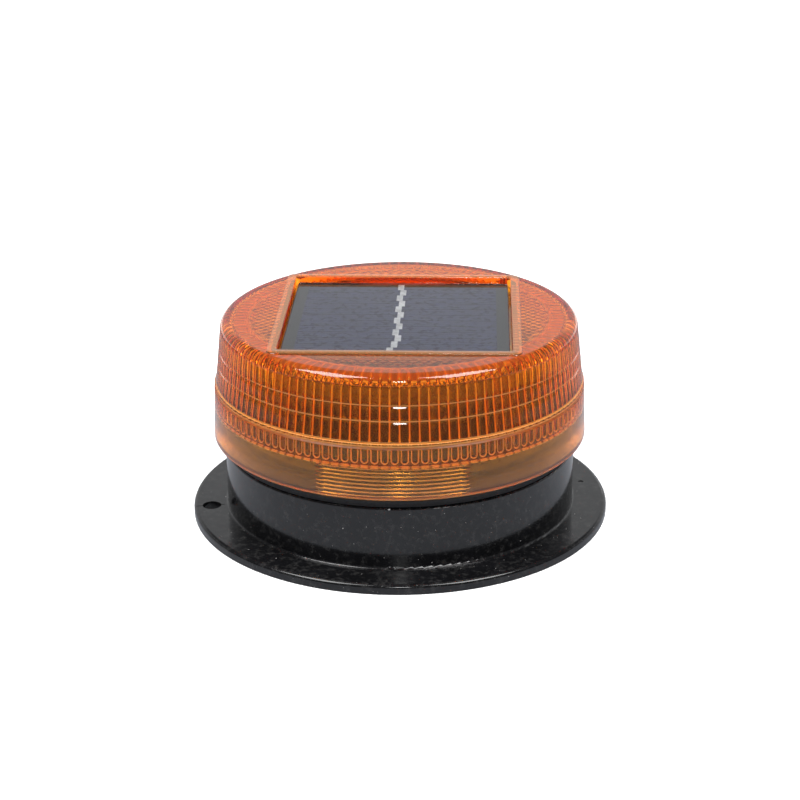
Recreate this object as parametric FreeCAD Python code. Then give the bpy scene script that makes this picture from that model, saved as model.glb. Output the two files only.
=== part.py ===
import FreeCAD, Part
import math
import os

# Solar barricade warning light. Millimetres, +Z up, origin on the base's underside, on the dome's axis.
# The front of the light is -Y and the solar panel's sides are parallel to X and Y.

# ---- base housing ----
FLANGE_R = 67.5
FLANGE_T = 3.2
DRUM_R = 56.4
DRUM_INNER_R = 54.0
DRUM_TOP_Z = 23.5
NECK_R = 54.4
NECK_INNER_R = 52.2
NECK_TOP_Z = 35.0
FLOOR_T = 2.6
DOOR_BOSS_R = 2.8
DOOR_BOSS_H = 5.0
FLANGE_HOLE_R = 3.0
FLANGE_HOLE_PCR = 61.8
FLANGE_HOLE_AZ = -169.6
WELD_LINE_W = 0.35
WELD_LINE_DEPTH = 0.2
WELD_LINE_CUT_H = 1.4
WELD_LINE_OUTER_L = 4.6
WELD_LINE_INNER_L = 3.0
WELD_LINE_INNER_START = 1.2
VENT_MARK_R = 0.85
VENT_MARK_DEPTH = 0.25

# ---- lens dome ----
SKIRT_BOTTOM_Z = 27.3
SKIRT_BOTTOM_R = 59.9
SKIRT_BOTTOM_INNER_R = 57.2
STEP_BOTTOM_Z = 44.4
STEP_BOTTOM_R = 59.3
STEP_TOP_Z = 45.4
STEP_TOP_R = 58.7
LOWER_RING_Z = 51.9
LOWER_RING_R = 58.0
UPPER_RING_Z = 56.7
UPPER_RING_R = 57.5
RING_DEPTH = 0.3
RING_HALF_W = 0.45
DOME_TOP_Z = 65.8
RIM_R = 56.85
RIM_FILLET = 3.2
INNER_RIM_FILLET = 2.0
LENS_T = 2.8
SEAL_SHOULDER_H = 2.0
SEAL_LIP_H = 4.0
FRAME_RAISE = 0.5
FRAME_W = 2.8
FRAME_CORNER_R = 2.4

# ---- solar panel and its tray ----
PANEL_SIDE = 70.0
POCKET_SIDE = 71.5
PANEL_TOP_Z = 64.5
PANEL_BOARD_T = 1.4
PANEL_FACE_T = 1.3
TAPE_T = 0.8
TAPE_SIDE = 67.0
TRAY_T = 1.9
TRAY_WALL = 1.7
TRAY_CORNER_R = 5.0
POCKET_CORNER_R = 1.2
TRAY_WIRE_HOLE_R = 4.0
CELL_COUNT = 11
CELL_L = 62.0
CELL_W = 5.2
CELL_PITCH = 5.55
CELL_T = 0.3
RIBBON_W = 2.0
RIBBON_STEP = 0.9
RIBBON_T = 0.15
RIBBON_GAP = 0.15
RIBBON_END_SHIFT = 1.2

# ---- screw posts that join dome and base ----
POST_XY = 32.5
TUBE_R = 4.5
TUBE_TOP_Z = 30.0
COUNTERBORE_R = 3.4
SCREW_SEAT_Z = 20.0
DOME_SCREW_R = 1.5
DOME_SCREW_HOLE_R = 1.7
DOME_SCREW_HEAD_R = 2.8
DOME_SCREW_L = 18.0
POST_R = 3.75
POST_PILOT_DEPTH = 12.0
DOME_SCREW_HEAD_H = 2.2

# ---- battery bay, door and contacts ----
CELL_AA_R = 7.1
CELL_AA_BODY_L = 49.0
CELL_AA_NUB_L = 1.1
CELL_AA_NUB_R = 2.7
AA_PITCH_Y = 15.0
AA_AXIS_Z = 11.0
BAY_X = 29.0
BAY_Y = 22.7
BAY_WALL = 1.7
BAY_CEILING_Z = 18.8
BAY_ROOF_Z = 20.4
DOOR_X = 36.2
DOOR_Y = 26.7
DOOR_GAP = 0.3
DOOR_BOTTOM_Z = 0.3
DOOR_TOP_Z = 2.3
DOOR_CORNER_R = 4.0
PAD_MARGIN = 2.5
PAD_TOP_Z = 5.0
SEAL_IN_X = 30.0
SEAL_IN_Y = 23.7
SEAL_W = 1.5
SEAL_H = 1.1
SEAL_CLEARANCE = 0.05
DOOR_SCREW_X = 33.9
DOOR_SCREW_Y = 18.0
CONTACT_T = 0.4
CONTACT_H = 11.0
CONTACT_HALF_W = 5.0
CONTACT_PAD_R = 2.2
CELL_SHIFT = 2.0
SPRING_R = 4.2
SPRING_TURNS = 3.5
SPRING_TAPER = -18.0
SPRING_WIRE_R = 0.35
TAG_W = 4.0
TAG_H = 7.5
TAG_BOTTOM_Z = 15.8
DOOR_RIB_COUNT = 5
DOOR_RIB_PITCH = 3.0
SLOT_X = 28.3
SLOT_W = 1.4
SLOT_L = 6.0

# ---- control board and lamps ----
BOARD_R = 40.0
BOARD_T = 1.6
BOARD_POST_X = 17.0
BOARD_POST_Y = 13.0
BOARD_POST_R = 3.0
HOLDER_R = 31.0
HOLDER_INNER_R = 28.6
HOLDER_TOP_Z = 50.0
HOLDER_LID_T = 1.8
HOLDER_BOSS_PCR = 25.6
HOLDER_BOSS_R = 2.6
LAMP_COUNT = 8
LAMP_FIRST_AZ = 22.5
LAMP_Z = 42.0
LAMP_R = 2.5
LAMP_TIP_R = 36.9
LAMP_COLLAR_R = 2.9
LAMP_COLLAR_T = 1.0
LEAD_R = 0.25
LEAD_HOLE_R = 0.45
LEAD_OFFSET = 1.27
LEAD_DROP_R = 25.0
LEAD_END_Z = 28.8
HOLDER_CABLE_HOLE_R = 6.0
COIL_X = -9.0
COIL_Y = 5.0
COIL_R = 4.5
COIL_WAIST_R = 2.2
COIL_H = 5.8
COIL_RIM_T = 1.2
COIL_LAYERS = 6
CAN_X = 9.0
CAN_R = 4.0
CAN_H = 11.0
CHIP_Y = -11.0
CHIP_LEGS_PER_SIDE = 8
CHIP_LEG_PITCH = 1.27
TRANSISTOR_X = 8.0
TRANSISTOR_Y = -4.0

# ---- plug between panel and control board ----
PLUG_Y = 14.0
PLUG_PIN_X = 1.25
SOCKET_H = 5.0
PLUG_H = 4.5
PLUG_OVERLAP = 2.5

# ---- small fasteners ----
SMALL_SCREW_R = 1.1
SMALL_HEAD_R = 2.0
SMALL_HEAD_H = 1.5
SMALL_SCREW_L = 6.0
SMALL_PILOT_DEPTH = 6.5
PILOT_CLEARANCE = 0.05
THROUGH_CLEARANCE = 0.2

# ---- power switch ----
SWITCH_Y = 41.0
BUTTON_R = 6.0
BUTTON_CLEARANCE = 0.05
BUTTON_BOTTOM_Z = 0.6
GUIDE_R = 10.0
GUIDE_TOP_Z = 5.5
FINGER_DISH_R = 9.0
FINGER_DISH_DEPTH = 0.8
BUTTON_SEAL_R = 7.6
BUTTON_SEAL_H = 1.6
COLLAR_R = 7.2
COLLAR_BOTTOM_Z = 5.7
COLLAR_T = 1.2
PLUNGER_R = 1.6
SWITCH_BODY_SIDE = 8.5
SWITCH_BODY_Z = 10.5
SWITCH_BODY_H = 7.0
SWITCH_POST_X = 11.5
SWITCH_POST_R = 2.6
SWITCH_BOARD_X = 29.0
SWITCH_BOARD_Y = 9.0
SWITCH_BOARD_T = 1.6
BUTTON_SPRING_R = 3.4
BUTTON_SPRING_WIRE_R = 0.25
BUTTON_SPRING_TURNS = 3.0
SWITCH_LEAD_X = 2.5
SWITCH_LEAD_END_Y = 36.0

# ---- wires ----
WIRE_R = 0.65
WIRE_BEND_R = 2.0

# ---- sizes worked out from the ones above ----
BOARD_Z = TUBE_TOP_Z
BOARD_TOP_Z = BOARD_Z + BOARD_T
SWITCH_BOARD_Z = SWITCH_BODY_Z + SWITCH_BODY_H
COLLAR_TOP_Z = COLLAR_BOTTOM_Z + COLLAR_T
PANEL_FACE_Z = PANEL_TOP_Z - PANEL_FACE_T
PANEL_BOARD_Z = PANEL_FACE_Z - PANEL_BOARD_T
TRAY_FLOOR_Z = PANEL_BOARD_Z - TAPE_T
TRAY_BOTTOM_Z = TRAY_FLOOR_Z - TRAY_T
FRAME_TOP_Z = DOME_TOP_Z + FRAME_RAISE
RECESS_X = DOOR_X + DOOR_GAP
RECESS_Y = DOOR_Y + DOOR_GAP
PLATE_X = BAY_X - 0.1
TAG_X = SLOT_X + 0.1
PLUG_TOP_Z = BOARD_TOP_Z + SOCKET_H + PLUG_H - PLUG_OVERLAP

UP = FreeCAD.Vector(0, 0, 1)
ORIGIN = FreeCAD.Vector(0, 0, 0)
CORNERS = [(1, 1), (-1, 1), (-1, -1), (1, -1)]


# ---- shape helpers ----
def vec(x, y, z):
    return FreeCAD.Vector(x, y, z)


def rounded_path(points, closed):
    """Edges through (vector, corner radius) points, with each corner rounded to its radius."""
    edges = []
    count = len(points)
    last = None
    first = None
    for i in range(count):
        corner, radius = points[i]
        at_end = not closed and i in (0, count - 1)
        if radius <= 0 or at_end:
            start = corner
            end = corner
        else:
            to_before = (points[i - 1][0] - corner).normalize()
            to_after = (points[(i + 1) % count][0] - corner).normalize()
            half = to_before.getAngle(to_after) / 2
            bisector = (to_before + to_after).normalize()
            start = corner + to_before * (radius / math.tan(half))
            end = corner + to_after * (radius / math.tan(half))
            middle = corner + bisector * (radius / math.sin(half) - radius)
        if last is not None and last.distanceToPoint(start) > 1e-6:
            edges.append(Part.makeLine(last, start))
        if start is not end:
            edges.append(Part.Arc(start, middle, end).toShape())
        if first is None:
            first = start
        last = end
    if closed and last.distanceToPoint(first) > 1e-6:
        edges.append(Part.makeLine(last, first))
    return Part.Wire(edges)


def turned(corners):
    """Solid of revolution about Z from (radius, height, corner radius) points."""
    points = [(vec(r, 0, z), fillet) for r, z, fillet in corners]
    face = Part.Face(rounded_path(points, True))
    return face.revolve(ORIGIN, UP, 360)


def slab(half_x, half_y, z0, z1, corner_r, centre=(0, 0)):
    """Upright plate with rounded plan corners."""
    cx, cy = centre
    points = [(vec(cx + sx * half_x, cy + sy * half_y, z0), corner_r) for sx, sy in CORNERS]
    return Part.Face(rounded_path(points, True)).extrude(vec(0, 0, z1 - z0))


def rod(radius, z0, z1, x=0.0, y=0.0):
    return Part.makeCylinder(radius, z1 - z0, vec(x, y, z0), UP)


def rod_x(radius, x0, x1, y, z):
    return Part.makeCylinder(radius, x1 - x0, vec(x0, y, z), vec(1, 0, 0))


def turn_about_z(shape, degrees):
    copy = shape.copy()
    copy.rotate(ORIGIN, UP, degrees)
    return copy


def four_ways(shape):
    """The shape and its mirror images in X and Y."""
    mirrored = shape.mirror(ORIGIN, vec(1, 0, 0))
    pair = [shape, mirrored]
    return pair + [s.mirror(ORIGIN, vec(0, 1, 0)) for s in pair]


def fused(shapes):
    body = shapes[0]
    for shape in shapes[1:]:
        body = body.fuse(shape)
    return body.removeSplitter()


def cut_all(shape, tools):
    for tool in tools:
        shape = shape.cut(tool)
    return shape


def screw(head_r, head_h, shank_r, length):
    """Pan-head screw, its head's underside at z = 0 and its shank pointing up, with a cross recess."""
    head = turned([(0, -head_h, 0), (head_r, -head_h, head_h * 0.55), (head_r, 0, 0), (0, 0, 0)])
    tip = shank_r * 0.8
    shank_top = length - tip
    shank = turned([(0, 0, 0), (shank_r, 0, 0), (shank_r, shank_top, 0), (0.2, length, 0), (0, length, 0)])
    body = head.fuse(shank)
    arm = head_r * 1.1
    depth = head_h * 0.6
    width = head_r * 0.28
    for sx, sy in ((arm, width), (width, arm)):
        body = body.cut(Part.makeBox(sx, sy, depth, vec(-sx / 2, -sy / 2, -head_h)))
    return body.removeSplitter()


def wire(points, bend_r=WIRE_BEND_R, radius=WIRE_R):
    """Round wire through the given points, bent at each inner one."""
    path = rounded_path([(vec(*p), bend_r) for p in points], False)
    direction = vec(*points[1]) - vec(*points[0])
    ring = Part.Wire(Part.makeCircle(radius, vec(*points[0]), direction))
    return path.makePipeShell([ring], True, True)


def save(shape, name):
    os.makedirs("parts", exist_ok=True)
    shape.exportStep("parts/" + name + ".step")


# ---- base ----
def base_shell():
    """Flange, drum, neck and floor as one turned shell."""
    return turned([
        (0, 0, 0), (FLANGE_R, 0, 0.4), (FLANGE_R, FLANGE_T, 1.2), (DRUM_R, FLANGE_T, 0.8),
        (DRUM_R, DRUM_TOP_Z, 0.7), (NECK_R, DRUM_TOP_Z, 0.3), (NECK_R, NECK_TOP_Z, 0.5),
        (NECK_INNER_R, NECK_TOP_Z, 0.5), (NECK_INNER_R, DRUM_TOP_Z - 1.5, 0.5),
        (DRUM_INNER_R, DRUM_TOP_Z - 3.5, 0.5), (DRUM_INNER_R, FLOOR_T, 0.8), (0, FLOOR_T, 0)])


def flange_marks():
    """Mounting hole with its moulding weld line, and the vent mark opposite."""
    hole = rod(FLANGE_HOLE_R, -1, FLANGE_T + 1, FLANGE_HOLE_PCR)
    depth = WELD_LINE_DEPTH
    low_y = -WELD_LINE_W / 2
    outer_at = vec(FLANGE_R - WELD_LINE_OUTER_L, low_y, FLANGE_T - depth)
    outer = Part.makeBox(WELD_LINE_OUTER_L + 0.4, WELD_LINE_W, WELD_LINE_CUT_H, outer_at)
    edge = Part.makeBox(1.0, WELD_LINE_W, FLANGE_T, vec(FLANGE_R - depth, low_y, 0.8))
    inner_at = vec(DRUM_R + WELD_LINE_INNER_START, low_y, FLANGE_T - depth / 2)
    inner = Part.makeBox(WELD_LINE_INNER_L, WELD_LINE_W, WELD_LINE_CUT_H, inner_at)
    marks = [turn_about_z(s, FLANGE_HOLE_AZ) for s in (hole, outer, edge, inner)]
    vent = rod(VENT_MARK_R, FLANGE_T - VENT_MARK_DEPTH, FLANGE_T + 1, FLANGE_HOLE_PCR - 1.0)
    return marks + [turn_about_z(vent, FLANGE_HOLE_AZ + 180)]


def base_housing():
    shell = base_shell()
    pad = slab(RECESS_X + PAD_MARGIN, RECESS_Y + PAD_MARGIN, 0.0, PAD_TOP_Z, DOOR_CORNER_R + 1)
    bay = slab(BAY_X + BAY_WALL, BAY_Y + BAY_WALL, 0.0, BAY_ROOF_Z, 1.5)
    solids = [shell, pad, bay, rod(GUIDE_R, 0.0, GUIDE_TOP_Z, 0, SWITCH_Y)]
    solids += four_ways(rod(TUBE_R, 0.0, TUBE_TOP_Z, POST_XY, POST_XY))
    solids += four_ways(rod(DOOR_BOSS_R, 0.0, PAD_TOP_Z + DOOR_BOSS_H, DOOR_SCREW_X, DOOR_SCREW_Y))
    solids += four_ways(rod(BOARD_POST_R, BAY_CEILING_Z, BOARD_Z, BOARD_POST_X, BOARD_POST_Y))
    for side in (-1, 1):
        solids.append(rod(SWITCH_POST_R, 0.0, SWITCH_BOARD_Z, side * SWITCH_POST_X, SWITCH_Y))
    body = fused(solids)
    tools = flange_marks()
    tools.append(slab(BAY_X, BAY_Y, -1.0, BAY_CEILING_Z, 0.8))
    tools.append(slab(RECESS_X, RECESS_Y, -1.0, DOOR_TOP_Z, DOOR_CORNER_R))
    gap = SEAL_CLEARANCE
    seal_z = DOOR_TOP_Z - 0.5
    tools.append(seal_ring(SEAL_IN_X - gap, SEAL_IN_Y - gap, SEAL_W + 2 * gap, seal_z, SEAL_H + gap + 0.5))
    tools += four_ways(rod(COUNTERBORE_R, -1.0, SCREW_SEAT_Z, POST_XY, POST_XY))
    tools += four_ways(rod(DOME_SCREW_HOLE_R, 0.0, TUBE_TOP_Z + 1, POST_XY, POST_XY))
    pilot = SMALL_SCREW_R + PILOT_CLEARANCE
    depth = SMALL_PILOT_DEPTH
    tools += four_ways(rod(pilot, 0.0, DOOR_TOP_Z + depth - 0.5, DOOR_SCREW_X, DOOR_SCREW_Y))
    tools += four_ways(rod(pilot, BOARD_Z - depth, BOARD_Z + 1, BOARD_POST_X, BOARD_POST_Y))
    for side in (-1, 1):
        tools.append(rod(pilot, SWITCH_BOARD_Z - depth, SWITCH_BOARD_Z + 1, side * SWITCH_POST_X, SWITCH_Y))
        slot_at = (side * SLOT_X, side * AA_PITCH_Y)
        tools.append(slab(SLOT_W / 2, SLOT_L / 2, BAY_CEILING_Z - 1, BAY_ROOF_Z + 1, 0.5, slot_at))
    tools.append(rod(BUTTON_R + BUTTON_CLEARANCE, -1.0, GUIDE_TOP_Z + 1, 0, SWITCH_Y))
    tools.append(rod(BUTTON_SEAL_R, -1.0, FINGER_DISH_DEPTH + BUTTON_SEAL_H, 0, SWITCH_Y))
    tools.append(rod(FINGER_DISH_R, -1.0, FINGER_DISH_DEPTH, 0, SWITCH_Y))
    return cut_all(body, tools)


# ---- dome ----
def dome_shell():
    groove = RING_HALF_W
    inner_top = DOME_TOP_Z - LENS_T
    return turned([
        (SKIRT_BOTTOM_INNER_R, SKIRT_BOTTOM_Z, 0.3), (SKIRT_BOTTOM_R, SKIRT_BOTTOM_Z, 0.5),
        (STEP_BOTTOM_R, STEP_BOTTOM_Z, 0.2), (STEP_TOP_R, STEP_TOP_Z, 0.2),
        (LOWER_RING_R + 0.05, LOWER_RING_Z - groove, 0), (LOWER_RING_R - RING_DEPTH, LOWER_RING_Z, 0),
        (LOWER_RING_R, LOWER_RING_Z + groove, 0), (UPPER_RING_R + 0.05, UPPER_RING_Z - groove, 0),
        (UPPER_RING_R - RING_DEPTH, UPPER_RING_Z, 0), (UPPER_RING_R, UPPER_RING_Z + groove, 0),
        (RIM_R, DOME_TOP_Z, RIM_FILLET), (0, DOME_TOP_Z, 0), (0, inner_top, 0),
        (RIM_R - LENS_T, inner_top, INNER_RIM_FILLET), (LOWER_RING_R - LENS_T, LOWER_RING_Z, 0),
        (STEP_BOTTOM_R - LENS_T, STEP_BOTTOM_Z, 0)])


def lens_dome():
    half = POCKET_SIDE / 2
    tray = slab(half + TRAY_WALL, half + TRAY_WALL, TRAY_BOTTOM_Z, DOME_TOP_Z - 0.5, TRAY_CORNER_R)
    frame = slab(half + FRAME_W, half + FRAME_W, DOME_TOP_Z - 2.0, FRAME_TOP_Z, FRAME_CORNER_R)
    posts = four_ways(rod(POST_R, TUBE_TOP_Z, TRAY_FLOOR_Z - 0.5, POST_XY, POST_XY))
    body = fused([dome_shell(), tray, frame] + posts)
    tools = [slab(half, half, TRAY_FLOOR_Z, FRAME_TOP_Z + 1, POCKET_CORNER_R)]
    tools.append(rod(TRAY_WIRE_HOLE_R, TRAY_BOTTOM_Z - 1, TRAY_FLOOR_Z + 1))
    pilot_top = TUBE_TOP_Z + POST_PILOT_DEPTH
    pilot = rod(DOME_SCREW_R + PILOT_CLEARANCE, TUBE_TOP_Z - 1, pilot_top, POST_XY, POST_XY)
    return cut_all(body, tools + four_ways(pilot))


def dome_seal():
    """Rubber ring squeezed between the neck and the skirt, with a round bead that shows under the skirt."""
    inner = NECK_R + 0.08
    outer = SKIRT_BOTTOM_INNER_R - 0.15
    foot_z = DRUM_TOP_Z + 0.05
    lip_z = SKIRT_BOTTOM_Z + SEAL_LIP_H
    return turned([
        (inner, foot_z, 0.5), (DRUM_R - 0.3, foot_z, 0.5),
        (outer + 0.25, DRUM_TOP_Z + SEAL_SHOULDER_H, 1.2), (outer, SKIRT_BOTTOM_Z - 0.2, 0.3),
        (outer - 0.15, lip_z, 0.6), (inner, lip_z, 0.4)])


def dome_screws():
    one = screw(DOME_SCREW_HEAD_R, DOME_SCREW_HEAD_H, DOME_SCREW_R, DOME_SCREW_L)
    one.translate(vec(POST_XY, POST_XY, SCREW_SEAT_Z))
    return Part.makeCompound(four_ways(one))


# ---- solar panel ----
def panel_tape():
    tape = slab(TAPE_SIDE / 2, TAPE_SIDE / 2, TRAY_FLOOR_Z, PANEL_BOARD_Z, 1.0)
    return tape.cut(rod(TRAY_WIRE_HOLE_R + 1, TRAY_FLOOR_Z - 1, PANEL_BOARD_Z + 1))


def panel_board():
    return slab(PANEL_SIDE / 2, PANEL_SIDE / 2, PANEL_BOARD_Z, PANEL_FACE_Z, 0.5)


def cell_y(index):
    return (index - (CELL_COUNT - 1) / 2) * CELL_PITCH


def solar_cells():
    top = PANEL_FACE_Z + CELL_T
    places = [(0, cell_y(i)) for i in range(CELL_COUNT)]
    return Part.makeCompound([slab(CELL_L / 2, CELL_W / 2, PANEL_FACE_Z, top, 0.1, at) for at in places])


def cell_ribbon():
    """Tinned tabs down the middle, each bridging two strips and stepping sideways to the next tab."""
    z0 = PANEL_FACE_Z + CELL_T
    half_y = (CELL_PITCH - RIBBON_GAP) / 2
    tabs = []
    for i in range(-1, CELL_COUNT):
        x = RIBBON_STEP / 2 if i % 2 else -RIBBON_STEP / 2
        if i < 0:
            x -= RIBBON_STEP + RIBBON_END_SHIFT
        middle = (x, cell_y(i) + CELL_PITCH / 2)
        tabs.append(slab(RIBBON_W / 2, half_y, z0, z0 + RIBBON_T, 0.15, middle))
    return Part.makeCompound(tabs)


def panel_resin():
    half = PANEL_SIDE / 2
    block = slab(half, half, PANEL_FACE_Z, PANEL_TOP_Z, 0.8)
    return block.cut(solar_cells()).cut(cell_ribbon())


def panel_lead(side):
    """One panel wire, from the board's back, down through the lamp holder, to the plug."""
    x = side * PLUG_PIN_X
    return wire([(x * 1.3, 0, PANEL_BOARD_Z - 0.05), (x * 1.3, 0, 53.0), (x, 6.0, 46.5), (x, PLUG_Y, 45.5),
                 (x, PLUG_Y, PLUG_TOP_Z + 0.05)])


# ---- plug that lets the dome come off ----
def panel_socket():
    """Open-topped socket on the control board."""
    body = slab(4.2, 3.0, BOARD_TOP_Z, BOARD_TOP_Z + SOCKET_H, 0.4, (0, PLUG_Y))
    return body.cut(slab(3.4, 2.2, BOARD_TOP_Z + 1.0, BOARD_TOP_Z + SOCKET_H + 1, 0.2, (0, PLUG_Y)))


def panel_plug():
    plug = slab(3.3, 2.1, BOARD_TOP_Z + PLUG_OVERLAP, PLUG_TOP_Z, 0.3, (0, PLUG_Y))
    head = slab(3.8, 2.6, BOARD_TOP_Z + SOCKET_H + 0.1, PLUG_TOP_Z, 0.4, (0, PLUG_Y))
    return plug.fuse(head).removeSplitter()


# ---- control board ----
def lamp_angles():
    return [LAMP_FIRST_AZ + i * 360.0 / LAMP_COUNT for i in range(LAMP_COUNT)]


def around_lamps(shape):
    """The shape, built for a lamp on +X, repeated at every lamp."""
    return [turn_about_z(shape, angle) for angle in lamp_angles()]


def control_board():
    board = rod(BOARD_R, BOARD_Z, BOARD_TOP_Z)
    hole_r = SMALL_SCREW_R + THROUGH_CLEARANCE
    tools = four_ways(rod(hole_r, BOARD_Z - 1, BOARD_TOP_Z + 1, BOARD_POST_X, BOARD_POST_Y))
    for angle in (0, 90, 180, 270):
        hole = rod(hole_r, BOARD_Z - 1, BOARD_TOP_Z + 1, HOLDER_BOSS_PCR)
        tools.append(turn_about_z(hole, angle))
    for side in (-1, 1):
        lead_hole = rod(LEAD_HOLE_R, BOARD_Z - 1, BOARD_TOP_Z + 1, LEAD_DROP_R, side * LEAD_OFFSET)
        tools += around_lamps(lead_hole)
    return cut_all(board, tools)


def small_screw():
    return screw(SMALL_HEAD_R, SMALL_HEAD_H, SMALL_SCREW_R, SMALL_SCREW_L)


def screw_down(x, y, z):
    """Small screw driven downwards, its head resting on height z."""
    one = small_screw()
    one.rotate(ORIGIN, vec(1, 0, 0), 180)
    one.translate(vec(x, y, z))
    return one


def board_screws():
    return Part.makeCompound(four_ways(screw_down(BOARD_POST_X, BOARD_POST_Y, BOARD_TOP_Z)))


def led_holder():
    """Black drum that carries the lamps, open below, with a cable hole in its lid."""
    lid_bottom = HOLDER_TOP_Z - HOLDER_LID_T
    drum = turned([
        (HOLDER_INNER_R, BOARD_TOP_Z, 0), (HOLDER_R, BOARD_TOP_Z, 0.3), (HOLDER_R, HOLDER_TOP_Z, 1.2),
        (HOLDER_CABLE_HOLE_R, HOLDER_TOP_Z, 0.6), (HOLDER_CABLE_HOLE_R, lid_bottom, 0.4),
        (HOLDER_INNER_R, lid_bottom, 0.8)])
    solids = [drum]
    tools = []
    boss = rod(HOLDER_BOSS_R, BOARD_TOP_Z, lid_bottom + 0.2, HOLDER_BOSS_PCR)
    pilot_top = BOARD_Z + SMALL_PILOT_DEPTH
    for angle in (0, 90, 180, 270):
        solids.append(turn_about_z(boss, angle))
        web = Part.makeBox(3.0, 1.6, lid_bottom - BOARD_TOP_Z, vec(HOLDER_BOSS_PCR + 1, -0.8, BOARD_TOP_Z))
        solids.append(turn_about_z(web, angle))
        pilot = rod(SMALL_SCREW_R + PILOT_CLEARANCE, BOARD_TOP_Z - 1, pilot_top, HOLDER_BOSS_PCR)
        tools.append(turn_about_z(pilot, angle))
    tools += around_lamps(rod_x(LAMP_R + 0.06, HOLDER_INNER_R - 2, HOLDER_R + 1, 0, LAMP_Z))
    return cut_all(fused(solids), tools)


def holder_screws():
    one = small_screw()
    one.translate(vec(HOLDER_BOSS_PCR, 0, BOARD_Z))
    return Part.makeCompound([turn_about_z(one, angle) for angle in (0, 90, 180, 270)])


def led_lamps():
    """Round 5 mm lamps, each with a collar inside the holder and a domed tip that faces outwards."""
    collar_x = HOLDER_INNER_R - 0.35 - LAMP_COLLAR_T
    body = rod_x(LAMP_R, collar_x, LAMP_TIP_R - LAMP_R, 0, LAMP_Z)
    tip = Part.makeSphere(LAMP_R, vec(LAMP_TIP_R - LAMP_R, 0, LAMP_Z))
    collar = rod_x(LAMP_COLLAR_R, collar_x, collar_x + LAMP_COLLAR_T, 0, LAMP_Z)
    lamp = fused([body, tip, collar])
    return Part.makeCompound(around_lamps(lamp))


def led_leads():
    start_x = HOLDER_INNER_R - 0.4 - LAMP_COLLAR_T
    leads = []
    for side in (-1, 1):
        y = side * LEAD_OFFSET
        path = [(start_x, y, LAMP_Z), (LEAD_DROP_R, y, LAMP_Z), (LEAD_DROP_R, y, LEAD_END_Z)]
        leads += around_lamps(wire(path, 0.8, LEAD_R))
    return Part.makeCompound(leads)


def chip(x, y, half_x, half_y, height):
    return slab(half_x, half_y, BOARD_TOP_Z + 0.25, BOARD_TOP_Z + height, 0.3, (x, y))


def control_chip():
    """Sixteen-lead chip: a moulded body and the gull-wing legs beside it."""
    body = chip(0.0, CHIP_Y, 5.0, 1.95, 1.75)
    leg_w = 0.42
    legs = []
    for i in range(CHIP_LEGS_PER_SIDE):
        x = (i - (CHIP_LEGS_PER_SIDE - 1) / 2) * CHIP_LEG_PITCH - leg_w / 2
        for side in (-1, 1):
            foot = Part.makeBox(leg_w, 0.7, 0.2, vec(x, CHIP_Y + side * 2.75 - 0.35, BOARD_TOP_Z))
            shin = Part.makeBox(leg_w, 0.2, 0.9, vec(x, CHIP_Y + side * 2.4 - 0.1, BOARD_TOP_Z))
            knee = Part.makeBox(leg_w, 0.6, 0.2, vec(x, CHIP_Y + side * 2.15 - 0.3, BOARD_TOP_Z + 0.8))
            legs.append(fused([foot, shin, knee]))
    return fused([body] + legs)


def charge_coil_core():
    z0 = BOARD_TOP_Z
    z1 = z0 + COIL_RIM_T
    z2 = z0 + COIL_H - COIL_RIM_T
    z3 = z0 + COIL_H
    core = turned([(0, z0, 0), (COIL_R, z0, 0.3), (COIL_R, z1, 0.2), (COIL_WAIST_R, z1, 0),
                   (COIL_WAIST_R, z2, 0), (COIL_R, z2, 0.2), (COIL_R, z3, 0.3), (0, z3, 0)])
    core.translate(vec(COIL_X, COIL_Y, 0))
    return core


def charge_coil_winding():
    inner = COIL_WAIST_R + 0.05
    z0 = BOARD_TOP_Z + COIL_RIM_T + 0.05
    z1 = BOARD_TOP_Z + COIL_H - COIL_RIM_T - 0.05
    pitch = (z1 - z0) / COIL_LAYERS
    corners = [(inner, z0, 0)]
    for i in range(COIL_LAYERS):
        corners.append((COIL_R - 0.5, z0 + 0.05 + i * pitch, 0.1))
        corners.append((COIL_R - 0.75, z0 + 0.32 + i * pitch, 0))
    corners.append((inner, z1, 0))
    winding = turned(corners)
    winding.translate(vec(COIL_X, COIL_Y, 0))
    return winding


def storage_capacitor():
    """Upright can with a pressed waist near its foot."""
    foot_z = BOARD_TOP_Z + 0.1
    top_z = BOARD_TOP_Z + CAN_H
    can = turned([
        (0, foot_z, 0), (CAN_R, foot_z, 0.5), (CAN_R, foot_z + 1.5, 0.3), (CAN_R - 0.4, foot_z + 2.0, 0.3),
        (CAN_R, foot_z + 2.5, 0.3), (CAN_R, top_z, 0.6), (CAN_R - 0.8, top_z, 0.2),
        (CAN_R - 0.9, top_z - 0.2, 0), (0, top_z - 0.2, 0)])
    can.translate(vec(CAN_X, COIL_Y, 0))
    return can


def driver_transistors():
    pieces = []
    for x in (-TRANSISTOR_X, TRANSISTOR_X):
        body = chip(x, TRANSISTOR_Y, 1.75, 1.75, 1.7)
        tab = Part.makeBox(3.0, 1.2, 0.25, vec(x - 1.5, TRANSISTOR_Y + 1.1, BOARD_TOP_Z))
        leg_y = TRANSISTOR_Y - 2.7
        legs = [Part.makeBox(0.7, 1.6, 0.3, vec(x - 0.35 + i * 1.2, leg_y, BOARD_TOP_Z)) for i in (-1, 0, 1)]
        pieces.append(fused([body, tab] + legs))
    return Part.makeCompound(pieces)


def chip_resistors():
    places = [(-15.0, -6.0), (-15.0, -3.0), (15.0, -6.0), (15.0, -3.0), (-3.0, -17.0), (3.0, -17.0)]
    return Part.makeCompound([slab(1.0, 0.62, BOARD_TOP_Z, BOARD_TOP_Z + 0.55, 0.08, p) for p in places])


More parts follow.
